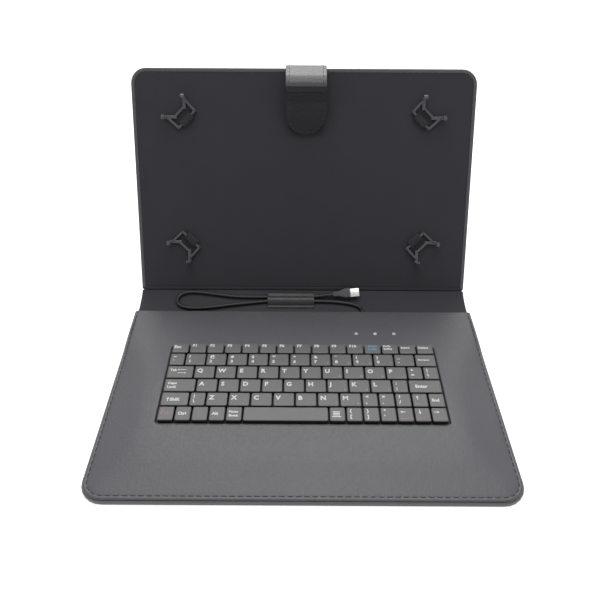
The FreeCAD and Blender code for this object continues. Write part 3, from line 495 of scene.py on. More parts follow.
def cable_curve(name, bevel):
    curve = bpy.data.curves.new(name, "CURVE")
    curve.dimensions = "3D"
    curve.bevel_depth = bevel * MM
    curve.bevel_resolution = 4
    curve.use_fill_caps = bevel > 0
    spline = curve.splines.new("NURBS")
    spline.points.add(len(CABLE) - 1)
    for point, p in zip(spline.points, CABLE):
        point.co = (*(Vector(p) * MM), 1.0)
    spline.order_u = 3
    spline.use_endpoint_u = True
    spline.resolution_u = 10
    return in_scene(name, curve)


def to_mesh(piece, name):
    """The evaluated piece as a plain mesh object; the piece itself goes."""
    bpy.context.view_layer.update()
    dg = bpy.context.evaluated_depsgraph_get()
    mesh = bpy.data.meshes.new_from_object(piece.evaluated_get(dg), depsgraph=dg)
    mesh.name = name
    bpy.data.objects.remove(piece)
    return in_scene(name, mesh)


line = to_mesh(cable_curve("cable_line", 0.0), "cable_line")
bpy.data.objects.remove(line)
cable = to_mesh(cable_curve("cable_jacket", CABLE_RADIUS), "cable_jacket")
cable.data.shade_smooth()
dress(cable, cable_pvc, replaces=["usb_cable"])

grip = cad_copy("plug_grip", "usb_plug_grip", 0.35)
dress(grip, grip_pvc, "spine", ["usb_plug_grip"])
plug_shell = cad_copy("plug_shell", "usb_plug_shell", 0.08)
dress(plug_shell, plating, "spine", ["usb_plug_shell"])
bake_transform(cable)


def turned(name, profile, place, steps=20):
    """A round piece: a profile of (radius, height) turned about its own Z, then placed."""
    ring = [(math.cos(2 * math.pi * k / steps), math.sin(2 * math.pi * k / steps)) for k in range(steps)]
    return shell(name, [[(r * c, r * s, z) for c, s in ring] for r, z in profile], place)


BOOT = Matrix.Translation((0.0484, 0.0861, 0.0051)) @ Matrix.Rotation(math.radians(-90), 4, "X")
BOOT_RIBS = [(0.3, 0.0), (1.9, 0.0), (1.9, 2.6), (1.85, 2.8), (1.6, 2.9), (1.6, 3.2), (1.85, 3.3),
             (1.8, 3.6), (1.6, 3.75), (1.6, 4.0), (1.75, 4.1), (1.7, 4.38), (1.52, 4.4), (0.3, 4.4)]
boot = turned("cable_boot", BOOT_RIBS, BOOT)
dress(boot, cable_pvc, "base", ["cable_gland"])

# Keyboard panel

# the key window's half width, front and back
WINDOW = (99.1, -30.95, 45.6)
WINDOW_CORNER = 2.0
# the panel is a little wider than the solid, most of all in front
BASE_CORNER, BASE_SPREAD = 14.5, (1.9, 0.9)
INNER_ROUNDING, INNER_ROUNDEST = 0.55, 14.0
DECK_SIDE = 14


def window_loop(grow):
    half, low, high = WINDOW[0] + grow, WINDOW[1] - grow, WINDOW[2] + grow
    r = WINDOW_CORNER + max(grow, 0.0)
    return corner_loop(half, low, r, half, high, r, DECK_SIDE)


def deck_loop(inset, setback=0.0):
    """The panel's outline drawn in, and set back in front. Its front corners get rounder towards the keys, so
    that the padding has no mitres."""
    front, back = (CASE_HALF + wider - inset for wider in BASE_SPREAD)
    low, high = max(inset, 0.0) + setback - PANEL_HALF, PANEL_HALF - inset
    near = max(BASE_CORNER - inset, min(INNER_ROUNDING * inset, INNER_ROUNDEST))
    return corner_loop(front, low, near, back, high, max(FOLD_CORNER - inset, SHARP), DECK_SIDE)


# inset from the edge and height: wall, rolled edge, sewn groove and the flat deck
DECK_EDGE = [(1.9, 4.2), (1.1, 4.2), (0.6, 4.45), (0.4, 5.0), (0.4, 6.3), (0.5, 6.95), (0.8, 7.5),
             (1.25, 7.87), (1.7, 7.98), (2.2, 7.92), (2.6, 7.6), (3.0, 7.55), (3.4, 7.86), (4.0, 7.98),
             (5.5, 8.0), (8.0, 8.0), (13.0, 8.0), (18.0, 8.0), (24.0, 8.0), (29.0, 8.0)]
DECK_WINDOW = [(3.0, 8.0), (1.2, 8.0), (0.4, 7.9), (0.05, 7.6), (0.0, 7.2), (0.0, 6.95), (0.3, 6.84)]
SHEET_UNDER, SHEET_INSETS = 6.84, (29.0, 16.0, 5.0, 1.9)
# the wall's foot as it is and as pressed, the share of its height that is left, and its step back in front
WALL_FOOT, RIM_SEAM, RIM_SQUEEZE, RIM_SETBACK = 4.0, 3.4, 0.43, 0.5
# Y where the pressing, the swelling and the slope's widening start, and how far on to the front each of them
# is complete
PRESSED, SWOLLEN, SLOPE_WIDENS = (64.0, 40.0), (45.0, 60.0), (50.0, 50.0)
SLOPE_WIDTH, SLOPE_WIDER, SLOPE_CURVE = 12.0, 14.0, 1.3
DECK_SWELL, SWELL_INSET, SWELL_WIDTH, DECK_FACE = 0.8, 12.0, 22.0, 7.5
GROOVE, GROOVE_LEVEL, FOLD_EDGE = (2.0, 3.0, 4.0), 7.97, 82.0


def smooth_share(share):
    """A share from 0 to 1 that starts and ends gently."""
    share = min(max(share, 0.0), 1.0)
    return share * share * (3 - 2 * share)


def towards_front(y, start, length):
    return smooth_share((start - y) / length)


def swelling(y):
    return DECK_SWELL * towards_front(y, *SWOLLEN)


def sewn_down(inset, z):
    """A ring of the deck. Along the front and sides the sewn rim is pressed flat, and the padding swells to
    the keys. There is no sewn groove along the fold."""
    pressed = RIM_SEAM + (z - WALL_FOOT) * RIM_SQUEEZE
    ring = []
    for x, y in deck_loop(inset, RIM_SETBACK):
        width = SLOPE_WIDTH + SLOPE_WIDER * towards_front(y, *SLOPE_WIDENS)
        near = min(max(1 - (inset - GROOVE[1]) / width, 0.0), 1.0) ** SLOPE_CURVE
        level = z + (pressed - z) * near * towards_front(y, *PRESSED)
        level += swelling(y) * smooth_share((inset - SWELL_INSET) / SWELL_WIDTH)
        ring.append((x, y, GROOVE_LEVEL if GROOVE[0] < inset < GROOVE[2] and y > FOLD_EDGE else level))
    return ring


rings = [sewn_down(d, z) for d, z in DECK_EDGE]
rings += [[(x, y, z + swelling(y) * (z > DECK_FACE)) for x, y in window_loop(d)] for d, z in DECK_WINDOW]
rings += [sewn_down(d, SHEET_UNDER) for d in SHEET_INSETS]
deck = shell("keyboard_deck", rings, closed=True)
dress(deck, leather, "base", ["base_top_skin"])

UNDER_EDGE = [(6.0, 0.0), (1.7, 0.0), (0.5, 0.12), (-0.3, 0.4), (-0.8, 0.85), (-1.0, 1.35), (-0.9, 1.8),
              (-0.5, 2.35), (0.1, 2.75), (0.7, 2.95), (1.3, 3.0), (1.9, 2.85), (1.9, 1.25), (6.0, 1.22)]
LIP_LOW, LIP_RISE, LIP_RISES = 1.3, 0.11, (78.0, 40.0)
rings = [[(x, y, z * (1 + LIP_RISE * (z > LIP_LOW) * towards_front(y, *LIP_RISES))) for x, y in deck_loop(d)]
         for d, z in UNDER_EDGE]
under = shell("panel_underside", rings)
# the underside takes the lighter leather: painted light on its lip
dress(under, underside_leather_painted_light, "base", ["base_outer_skin"])

# the foam is thinner under the pressed rim
FOAM_RIM, FOAM_LOW = 8.0, 3.9
foam_pad = cad_copy("panel_foam", "base_foam")
for v in foam_pad.data.vertices:
    if min(CASE_HALF - abs(v.co.x) / MM, PANEL_HALF - abs(v.co.y) / MM) < FOAM_RIM:
        v.co.z = min(v.co.z, FOAM_LOW * MM)
dress(foam_pad, foam_finish, "base", ["base_foam"])

LIGHTS_X, LIGHTS_Y = (41.5, 56.1, 70.7), 60.5
LENS = [(0.2, 3.8), (1.42, 3.8), (1.42, 7.95), (1.38, 8.12), (1.2, 8.24), (0.8, 8.3), (0.2, 8.31)]
lenses = [turned(f"lens_{x}", LENS, Matrix.Translation((x * MM, LIGHTS_Y * MM, 0)), 16) for x in LIGHTS_X]
lights = join_meshes("indicator_lenses", lenses)
dress(lights, lens_plastic, "base", ["indicator_lights"])

# Spine: outer skin and lining, bent at both folds

SPINE_MIDDLE = (105.4, 2.5166)
WALL = 1.2


def between(a, b, share):
    return (a[0] + (b[0] - a[0]) * share, a[1] + (b[1] - a[1]) * share)


def on_lid(y, z):
    """A point of the lid's own YZ plane in the case's YZ plane, in millimetres."""
    p = LID @ (Vector((0, y, z)) * MM) / MM
    return (p.y, p.z)


fold_front = joined(straight((88.3, 0.6), (90.3, 0.6), 3), smooth_path(
    [(90.3, 0.6), (91.5, 0.64), between(FOLD_A, FOLD_B, 0.05)], 5),
    straight(between(FOLD_A, FOLD_B, 0.05), SPINE_MIDDLE, 8))
spine_front = ribbon("spine_skin_front", fold_front, CASE_HALF, WALL, across=24)
dress(spine_front, leather, replaces=["spine_outer_skin"])
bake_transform(spine_front)
lid_hem = on_lid(-0.75, -5.4)
fold_back = joined(straight(SPINE_MIDDLE, between(FOLD_A, FOLD_B, 0.95), 8), smooth_path(
    [between(FOLD_A, FOLD_B, 0.95), (FOLD_B[0] - 0.15, FOLD_B[1] + 0.15), lid_hem], 6))
spine_back = ribbon("spine_skin_back", fold_back, CASE_HALF, WALL, across=24)
dress(spine_back, leather, replaces=["spine_outer_skin"])
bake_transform(spine_back)

# the lining sags from the deck's back edge to the lid's foot, and is a little slack
LINING = 1.0
lining_path = smooth_path([(88.75, 3.05), (91.0, 2.62), (95.5, 2.55), (101.5, 3.15), (107.0, 4.35),
                           (111.0, 5.7), (114.1, 6.95), (115.2, 7.5)], 5)
# it is cut in two at this step of its path, so that each half spans one fold
HALVES = 18
lining_front = ribbon("spine_lining_front", lining_path[:HALVES + 1], CASE_HALF - 0.2, LINING, across=24)
dress(lining_front, lining_nap, replaces=["spine_lining"])
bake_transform(lining_front)
lining_back = ribbon("spine_lining_back", lining_path[HALVES:], CASE_HALF - 0.2, LINING, across=24)
dress(lining_back, lining_nap, replaces=["spine_lining"])
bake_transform(lining_back)

LOOP_LEFT, LOOP_RIGHT = -29.2, 9.5
LOOP_THICK, LOOP_EDGE = 0.9, 0.3
loop_path = smooth_path([(97.0, 3.15), (98.9, 3.3), (99.9, 4.0), (100.8, 6.0), (101.9, 8.0), (103.4, 8.7),
                         (105.6, 9.0), (107.6, 9.55), (109.0, 9.75), (110.0, 9.0), (110.7, 7.2),
                         (111.2, 6.35), (112.4, 6.75)], 5)
band = ribbon("cable_band", loop_path, (LOOP_RIGHT - LOOP_LEFT) / 2, LOOP_THICK, (LOOP_RIGHT + LOOP_LEFT) / 2,
              edge=LOOP_EDGE)
dress(band, band_leather, "spine", ["cable_loop"])

# Lid

LID_FACE = [(6.0, -1.0), (1.25, -1.0), (1.2, -1.75), (0.55, -1.75), (0.12, -1.5), (0.0, -1.0), (0.1, -0.5),
            (0.45, -0.15), (1.0, -0.02), (2.0, 0.0), (2.5, -0.04), (2.8, -0.2), (3.2, -0.2), (3.5, -0.04),
            (4.2, 0.0)]
rings = [lifted(lid_loop(d), z) for d, z in LID_FACE]
face = shell("lid_face", rings, LID)
dress(face, lining_nap, "lid", ["lid_lining"])
# the outer leather is turned over the lining's edge as far as the seam
face.data.materials.append(leather)
HEM_FIRST, HEM_LAST, HEM_FOOT = 1, 11, 4.0
points = len(lid_loop(0.0))
for k, side in enumerate(face.data.polygons):
    on_hem = HEM_FIRST * points <= k < HEM_LAST * points
    side.material_index = int(on_hem and (LID.inverted() @ side.center).y > HEM_FOOT * MM)

LID_BACK = [(1.22, -4.8), (1.22, -2.45), (0.6, -2.42), (0.12, -2.7), (0.0, -3.2), (0.0, -4.6), (0.12, -5.25),
            (0.5, -5.78), (1.1, -6.0), (2.2, -6.0), (2.6, -5.95), (2.9, -5.78), (3.3, -5.78), (3.6, -5.95),
            (4.2, -6.0)]
HEM_INSET, HEM_DROP = 1.2, -0.8
HINGE, SLOT_GAP, SLOT_TOP = 130.0, 0.6, 0.7
SLOT_EDGE = [(1.0, -6.0), (0.25, -5.95), (0.0, -5.7), (0.0, -4.85), (0.2, -4.8)]


def slot_loop(grow):
    """The edge of the lid's cut-out, a little larger than the leg that lies in it."""
    return [(x, y + HINGE) for x, y in leg_loop(SLOT_GAP + grow, SLOT_TOP + grow)]


rings = [lifted(lid_loop(d, HEM_DROP, min(d, HEM_INSET)), z) for d, z in LID_BACK]
rings += [lifted(slot_loop(d), z) for d, z in SLOT_EDGE]
back_skin = shell("lid_back", rings, LID, closed=True)
dress(back_skin, leather, "lid", ["lid_outer_skin"])

LEG_EDGE = [(-6.0, -0.6), (-0.8, -0.6), (-0.25, -0.5), (-0.05, -0.2), (0.0, 0.1), (-0.1, 0.4), (-0.4, 0.58),
            (-6.0, 0.58)]
leg = shell("prop_leg", [lifted(leg_loop(d, 0.5 + min(d, 0.0)), z) for d, z in LEG_EDGE], LEG)
dress(leg, leather, "leg", ["leg_skin"])

# Corner hooks on their elastics

# the tips of the hooks about the lid's middle, and how far each claw's own origin is behind its tip
HOOK_X, HOOK_Y, HOOK_MIDDLE = 98.5, 54.1, 90.7
BACK_STEP = 10.0 * math.sqrt(0.5)
CORNERS = {"top_left": (-1, 1), "top_right": (1, 1), "bottom_left": (-1, -1), "bottom_right": (1, -1)}
# the bars of a claw's open frame, and the line of an arm with its prong and lip
BAR_HALF, BAR_THICK, BAR_Z, BAR_OVER = 1.0, 1.9, 1.3, 0.8
CLAW_BARS = [((-9.2, 1.0), (9.2, 1.0)), ((-6.0, 9.0), (6.0, 9.0)),
             ((-9.2, 1.0), (-9.7, 12.0)), ((9.2, 1.0), (9.7, 12.0))]
ARM_THICK, ARM_HALF, ARM_WIDER, ARM_WIDENS, ARM_ROOT = 1.6, 1.35, 0.35, 3.0, (5.2, 8.6)
CLAW_EDGE = 0.5
CLAW_ARM = smooth_path([(-1.2, 1.3), (4.0, 1.3), (7.6, 1.35), (8.7, 1.8), (9.1, 2.9), (9.15, 5.5),
                        (9.15, 8.2), (8.9, 9.2), (8.1, 9.65), (6.9, 9.7)], 4)


def turned_at(x, y, angle):
    return Matrix.Translation((x * MM, y * MM, 0)) @ Matrix.Rotation(angle, 4, "Z")


def claw(name, place):
    """An open frame with two arms that end in prongs, each with a lip over the tablet's edge."""
    parts = []
    for a, b in CLAW_BARS:
        turn = turned_at(*a, math.atan2(a[0] - b[0], b[1] - a[1]))
        run = straight((-BAR_OVER, BAR_Z), (math.dist(a, b) + BAR_OVER, BAR_Z), 6)
        parts.append(ribbon(f"{name}_bar_{len(parts)}", run, BAR_HALF, BAR_THICK, place=place @ turn,
                            edge=CLAW_EDGE, across=2))
    widths = [ARM_HALF + ARM_WIDER * smooth_share((z - BAR_Z) / ARM_WIDENS) for _, z in CLAW_ARM]
    for side in (-1, 1):
        turn = turned_at(side * ARM_ROOT[0], ARM_ROOT[1], math.radians(-45 * side))
        parts.append(ribbon(f"{name}_arm_{side}", CLAW_ARM, widths, ARM_THICK, place=place @ turn,
                            edge=CLAW_EDGE, across=2))
    return join_meshes(name, parts)


# each elastic runs inside the lid, comes up behind the claw's back bar, and goes over it and down in front
ELASTIC_HALF, ELASTIC_THICK, ELASTIC_EDGE = 5.5, 0.75, 0.25
TAIL_LOW, TAIL_TOP = -2.0, 2.9
TAIL = joined(straight((-31.0, TAIL_LOW), (-3.2, TAIL_LOW), 4), smooth_path(
    [(-3.2, TAIL_LOW), (-2.2, TAIL_LOW + 0.5), (-2.0, -0.8), (-2.0, 0.8), (-1.9, 2.2), (-1.2, TAIL_TOP),
     (0.0, TAIL_TOP)], 5), straight((0.0, TAIL_TOP), (2.2, TAIL_TOP), 3), smooth_path(
    [(2.2, TAIL_TOP), (3.1, 2.5), (3.2, 1.6), (3.2, 0.7)], 4))
for corner, (side, rise) in CORNERS.items():
    outward = math.atan2(rise, side)
    spot = LID @ turned_at(side * (HOOK_X - BACK_STEP), HOOK_MIDDLE + rise * (HOOK_Y - BACK_STEP),
                           outward - math.pi / 2)
    hook = claw(f"claw_{corner}", spot)
    dress(hook, hook_plastic, f"corner_{corner}", [f"hook_{corner}"])
    strip = ribbon(f"elastic_{corner}", TAIL, ELASTIC_HALF, ELASTIC_THICK, place=spot, edge=ELASTIC_EDGE)
    dress(strip, elastic_weave, replaces=[f"hook_elastic_{corner}"])
    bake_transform(strip)

# Closure strap

STRAP_X, STRAP_HALF, STRAP_THICK, STRAP_EDGE = 1.6, 15.7, 2.3, 0.5
ROOT_CORNER, TAB_CORNER = 6.0, 13.0
BRIDGE_AXIS, BEND = (178.1, -6.8), 16.5
BEND_CENTRE = (BRIDGE_AXIS[0] - BEND, 0.0)
TAB_AXIS = (BEND_CENTRE[0], BEND)


def round_end(path, half, radius):
    """The band's half width at each point of a path that ends in two rounded corners."""
    left = [0.0]
    for a, b in zip(path[::-1], path[-2::-1]):
        left.append(left[-1] + math.dist(a, b))
    widths = []
    for d in left[::-1]:
        inside = max(radius - d, 0.0)
        widths.append(half - radius + math.sqrt(max(radius ** 2 - inside ** 2, 0.0)))
    return widths


def eased(a, b, steps):
    """A straight run whose points crowd towards its end."""
    return [between(a, b, math.sin(math.pi / 2 * k / steps)) for k in range(steps + 1)]


def at_bend(angle):
    """A point of the strap's bend over the lid's edge, in the lid's YZ plane."""
    return (BEND_CENTRE[0] + BEND * math.cos(math.radians(angle)), BEND * math.sin(math.radians(angle)))


def creased(points, soft):
    """Straight runs with a soft crease at each inner point."""
    path = [points[0]]
    for before, here, after in zip(points, points[1:], points[2:]):
        start = between(here, before, min(soft / math.dist(here, before), 0.45))
        end = between(here, after, min(soft / math.dist(here, after), 0.45))
        path += straight(path[-1], start, 3)[1:]
        path += [between(between(start, here, k / 5), between(here, end, k / 5), k / 5) for k in range(1, 6)]
    return path + straight(path[-1], points[-1], 3)[1:]


root_path = eased((177.1, -6.8), (150.2, -6.8), 24)
root = ribbon("strap_root_leather", root_path, round_end(root_path, STRAP_HALF, ROOT_CORNER),
              STRAP_THICK - 0.05, STRAP_X, LID, STRAP_EDGE)
dress(root, strap_leather, "lid", ["strap_root"])
BEND_END = at_bend(86.5)
BEND_CREASES = [at_bend(-2), at_bend(8), at_bend(61), (BEND_END[0] + 2.2, BEND_END[1] - 0.13), BEND_END]
bridge_path = joined(straight((177.15, -6.8), (177.6, -6.8), 2), arc_path((177.6, -6.3), 0.5, -90, 0, 4),
                     straight((178.1, -6.3), (178.1, -0.6), 6), creased(BEND_CREASES, 1.6))
bridge = ribbon("strap_bridge_leather", bridge_path, STRAP_HALF, STRAP_THICK, STRAP_X, LID, STRAP_EDGE)
# the bridge takes the strap's leather painted lighter: painted highlight
dress(bridge, bridge_leather_painted_sheen, replaces=["strap_bridge"])
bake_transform(bridge)

lean = math.radians(LEAN)
tab_down = (-math.cos(lean), -math.sin(lean))
tab_start = arc_path(BEND_CENTRE, BEND, 86.5, 90, 2)


def down_tab(along, out=0.0):
    """A point of the hanging tab, in the lid's YZ plane."""
    y, z = tab_down
    return (TAB_AXIS[0] + y * along + out * z, TAB_AXIS[1] + z * along - out * y)


TAB_BEND = [TAB_AXIS, (TAB_AXIS[0] - 1.6, TAB_AXIS[1] - 0.12), down_tab(3.6, 0.38), down_tab(7.0, 0.12),
            down_tab(11.0, -0.15)]
tab_path = joined(tab_start, smooth_path(TAB_BEND, 5), eased(TAB_BEND[-1], down_tab(37.4, -0.2), 24))
tab = ribbon("strap_tab_leather", tab_path, round_end(tab_path, STRAP_HALF, TAB_CORNER), STRAP_THICK, STRAP_X,
             LID, STRAP_EDGE)
dress(tab, strap_leather, replaces=["strap_tab"])
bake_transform(tab)


# Keys and their legends

BLOCK, FUNCTION_DEPTH, ROW_DEPTH, BLOCK_MIDDLE = 198.0, 10.0, 13.1, 6.7
NARROW, WIDE = BLOCK * 0.0586, BLOCK * 0.0783
TAB_KEY, CAPS_KEY, SHIFT_KEY = BLOCK * 0.1, BLOCK * 0.1162, BLOCK * 0.1005
FUNCTION = BLOCK / 15
# the third number is the height below which a cap's sides take the painted shade
KEY_GAP, KEY_TOP, SKIRT_SHADE_TOP, PRINT_EDGE = 0.8, 11.22, 10.6, 0.4
CAP_CORNER, CAP_CORNER_LEAST = 1.1, 0.3
STEM_HALF, STEM_FOOT, STEM_TOP = 1.5, 5.55, 10.4
# the caps crowd together a little more than their stems
CAPS_SPREAD = 0.989
# and those of the back row reach further back
FUNCTION_REACH = 1.2
WEB_LOW, WEB_TOP, WEB_GAP = 3.9, 4.9, 0.03
DOME = [(2.4, 4.3), (2.3, 4.6), (1.5, 5.5)]
REST = None

# the small second marks of some keys
PAD = dict(zip("7890UIOPJKLM", "789*456-1230"))


def pad_mark(first):
    return [(PAD[first], "corner")] if first in PAD else []


def letter_keys(node, letters):
    return [(node, WIDE, [(c, "letter")] + pad_mark(c)) for c in letters]


def pair_keys(node, *pairs, pitch=NARROW):
    return [(node, pitch, [(upper, "upper"), (lower, "lower")] + pad_mark(lower)) for upper, lower in pairs]


# rows from the back: node, pitch (REST takes what is left of the row) and legends as (text, style)
ROWS = [
    [("key_escape", FUNCTION, [("Esc", "first")])]
    + [("keys_function_row", FUNCTION, [(f"F{i}", "small")]) for i in range(1, 11)]
    + [("keys_function_row", FUNCTION, [("Num", "lock_high"), ("Lock", "lock_low")]),
       ("keys_function_row", FUNCTION, [("PrtSc", "line_high"), ("SysRq", "line_low")]),
       ("keys_function_row", FUNCTION, [("Insert", "edit")]), ("key_delete", FUNCTION, [("Delete", "edit")])],
    pair_keys("keys_number_row", "~`")
    + pair_keys("keys_number_row", "!1", "@2", "#3", "$4", "%5", "^6", "&7", "*8", "(9", ")0", "_-",
                pitch=WIDE)
    + [("key_backspace", REST, [("Backspace", "tiny")])],
    [("key_tab", TAB_KEY, [("Tab", "tab"), ("both", "marks")])]
    + letter_keys("keys_upper_letters", "QWERTYUIOP")
    + pair_keys("keys_upper_letters", "+=") + pair_keys("keys_upper_letters", "|\\", pitch=REST),
    [("key_caps_lock", CAPS_KEY, [("Caps", "word_high"), ("Lock", "word_low")])]
    + letter_keys("keys_middle_letters", "ASDFGHJKL") + pair_keys("keys_middle_letters", ":;")
    + [("key_enter", REST, [("Enter", "word_wide")])],
    [("key_shift", SHIFT_KEY, [("up", "shift_mark"), ("Shift", "shift")])]
    + pair_keys("keys_lower_letters", "|\\") + letter_keys("keys_lower_letters", "ZXCVBNM")
    + pair_keys("keys_lower_letters", "<,", ">.", "?/")
    + [("key_up", NARROW, [("up", "arrow"), ("PgUp", "alternate")]), ("key_end", REST, [("End", "word")])],
    [("key_fn", NARROW, [("Fn", "function")]), ("key_control", NARROW, [("Ctrl", "word")]),
     ("key_home_screen", NARROW, []), ("key_alt", NARROW, [("Alt", "word")]),
     ("keys_front_row", NARROW, [("Pause", "pause_high"), ("Break", "pause_low")]), ("key_space", REST, []),
     ("keys_front_row", NARROW, [("menu", "list")])]
    + pair_keys("keys_front_row", "{[", "}]", "\"'")
    + [("key_left", NARROW, [("left", "arrow"), ("Home", "alternate")]),
       ("key_down", NARROW, [("down", "arrow"), ("PgDn", "alternate")]),
       ("key_right", NARROW, [("right", "arrow")])],
]

# each style: letter size, distance from the cap's left and back edge, and ink; a negative distance is from
# the other edge
STYLES = {
    "letter": (5.1, 1.4, 2.5, 0), "upper": (3.7, 1.9, 1.6, 0), "lower": (3.9, 1.9, 6.4, 0),
    "small": (3.7, 1.3, 0.8, 0), "first": (4.0, 0.7, 2.2, 0), "edit": (2.75, 0.9, 2.5, 0),
    "line_high": (2.65, 0.9, 1.0, 0), "line_low": (2.65, 0.9, 3.8, 0), "lock_high": (3.1, 2.6, 0.9, 2),
    "lock_low": (3.1, 2.6, 4.0, 2),
    "word": (3.4, 1.5, 4.6, 0), "word_high": (3.1, 1.9, 2.8, 0), "word_low": (3.1, 1.9, 6.4, 0),
    "pause_high": (2.7, 1.4, 3.1, 0), "pause_low": (2.7, 1.4, 6.5, 0), "word_wide": (3.9, 3.9, 4.5, 0),
    "shift": (3.7, 5.6, 4.9, 0), "tiny": (2.0, 1.6, 4.6, 0), "tab": (3.0, 1.6, 2.9, 0),
    "corner": (2.6, -2.6, -1.3, 1), "function": (5.8, 1.2, 2.6, 3), "alternate": (2.1, 1.4, -1.4, 3),
}
# outlines: distance from the cap's left and back edge
MARKS = {"arrow": (3.3, 3.7), "shift_mark": (4.2, 6.2), "marks": (6.6, 3.7), "list": (1.2, 8.6)}
INKS = [white_ink, blue_ink, cyan_ink, red_ink]
INK_DEEP, BOLD, CAPITALS = 0.03, 0.045, 0.72
letters_made = {}


def letter_mesh(text, size):
    """A legend's flat letters as a mesh, a little emboldened, made once for each text and size."""
    if (text, size) not in letters_made:
        curve = bpy.data.curves.new("legend", "FONT")
        curve.body = text
        curve.size = size * MM
        curve.resolution_u = 2
        curve.offset = BOLD * size * MM
        curve.extrude = INK_DEEP * MM / 2
        flat = to_mesh(in_scene("legend", curve), "legend")
        letters_made[text, size] = flat.data
        bpy.data.objects.remove(flat)
    return letters_made[text, size]


def outline_legend(kind):
    """Arrow, tab and menu marks as closed outlines, in millimetres; an arrow points left."""
    if kind == "menu":
        return [[(x, y), (6.1 - x, y), (6.1 - x, y + 0.85), (x, y + 0.85)]
                for x, y in ((0.0, 0.0), (0.7, 1.45), (0.7, 2.8), (0.7, 4.15))]
    if kind == "both":
        head = [(0, 0), (1.3, 0.75), (1.3, 0.25), (6.4, 0.25), (6.4, -0.25), (1.3, -0.25), (1.3, -0.75)]
        return [head, [(6.8 - x, -3.2 - y) for x, y in head]]
    return [[(0, 0), (1.5, 1.1), (1.5, 0.32), (3.6, 0.32), (3.6, -0.32), (1.5, -0.32), (1.5, -1.1)]]


ARROW_TURN = {"left": 0, "down": 90, "right": 180, "up": 270}


def add_outline(made, kind, ink, at):
    turn = Matrix.Rotation(math.radians(ARROW_TURN.get(kind, 0)), 2)
    shift = Vector((1.8, 0)) if kind in ARROW_TURN else Vector((0, 0))
    for outline in outline_legend(kind):
        corners = [turn @ (Vector(p) - shift) for p in outline]
        low, high = ([made.verts.new(((at[0] + p.x) * MM, (at[1] + p.y) * MM, z * MM)) for p in corners]
                     for z in (KEY_TOP, KEY_TOP + INK_DEEP))
        faces = [made.faces.new(high), made.faces.new(low[::-1])]
        for k in range(len(low)):
            n = (k + 1) % len(low)
            faces.append(made.faces.new((low[k], low[n], high[n], high[k])))
        for f in faces:
            f.material_index = ink


def add_legend(made, text, style, left, right, back, front):
    """Prints one legend on a cap whose top has these edges."""
    if style in MARKS:
        add_outline(made, text, 0, (left + MARKS[style][0], back - MARKS[style][1]))
        return
    size, dx, dy, ink = STYLES[style]
    x = left + dx if dx > 0 else right + dx
    y = back - dy - CAPITALS * size if dy > 0 else front - dy
    first = len(made.faces)
    made.from_mesh(letter_mesh(text, size))
    made.faces.ensure_lookup_table()
    fresh = made.faces[first:]
    shift = Vector((x * MM, y * MM, (KEY_TOP + INK_DEEP / 2) * MM))
    for v in {v for f in fresh for v in f.verts}:
        v.co += shift
    for f in fresh:
        f.material_index = ink


# inset and height from the hollow underside, over the skirt, to the top
CAP_RINGS = [(1.5, 10.35), (1.25, 10.3), (0.92, 8.7), (0.85, 8.65), (0.1, 8.65), (0.0, 8.72), (0.2, 10.7),
             (0.28, 10.98), (0.5, 11.16), (0.82, KEY_TOP), (1.6, KEY_TOP)]


def square(x, y, half_x, half_y, radius, z):
    loop = corner_loop(half_x, -half_y, radius, half_x, half_y, radius, 2, 3)
    return [(x + px, y + py, z) for px, py in loop]


def add_skin(part, rings):
    """Adds a capped skin over a row of loops to a part's points and faces."""
    verts, faces = part
    more, sides = skin(rings)
    faces.extend([tuple(len(verts) + k for k in side) for side in sides])
    verts.extend(more)


def add_key(cap, domes, x, y, pitch, depth, reach):
    """Adds one cap and its stems to a part, and the domes under them to another."""
    half_x, half_y = (pitch * CAPS_SPREAD - KEY_GAP) / 2, (depth + reach - KEY_GAP) / 2
    add_skin(cap, [square(x * CAPS_SPREAD, y + reach / 2, half_x - d, half_y - d,
                          max(CAP_CORNER - d / 2, CAP_CORNER_LEAST), z) for d, z in CAP_RINGS])
    for stem_x in ([x - pitch / 4, x + pitch / 4] if pitch > 3 * WIDE else [x]):
        add_skin(cap, [square(stem_x, y, STEM_HALF, STEM_HALF, SHARP, z) for z in (STEM_FOOT, STEM_TOP)])
        add_skin(domes, [square(stem_x, y, half, half, SHARP, z) for half, z in DOME])


caps, seats, prints = {}, {}, {}
row_back = BLOCK_MIDDLE + (FUNCTION_DEPTH + 5 * ROW_DEPTH) / 2
edge = KEY_GAP / 2 + PRINT_EDGE
for number, row in enumerate(ROWS):
    depth, reach = (ROW_DEPTH, 0.0) if number else (FUNCTION_DEPTH, FUNCTION_REACH)
    spare = BLOCK - sum(pitch for _, pitch, _ in row if pitch)
    left = -BLOCK / 2
    for node, pitch, legends in row:
        pitch = pitch or spare
        add_key(caps.setdefault(node, ([], [])), seats.setdefault(node, ([], [])), left + pitch / 2,
                row_back - depth / 2, pitch, depth, reach)
        made = prints.setdefault(node, bmesh.new())
        for text, style in legends:
            add_legend(made, text, style, left * CAPS_SPREAD + edge, (left + pitch) * CAPS_SPREAD - edge,
                       row_back + reach - edge, row_back - depth + edge)
        left += pitch
    row_back -= depth
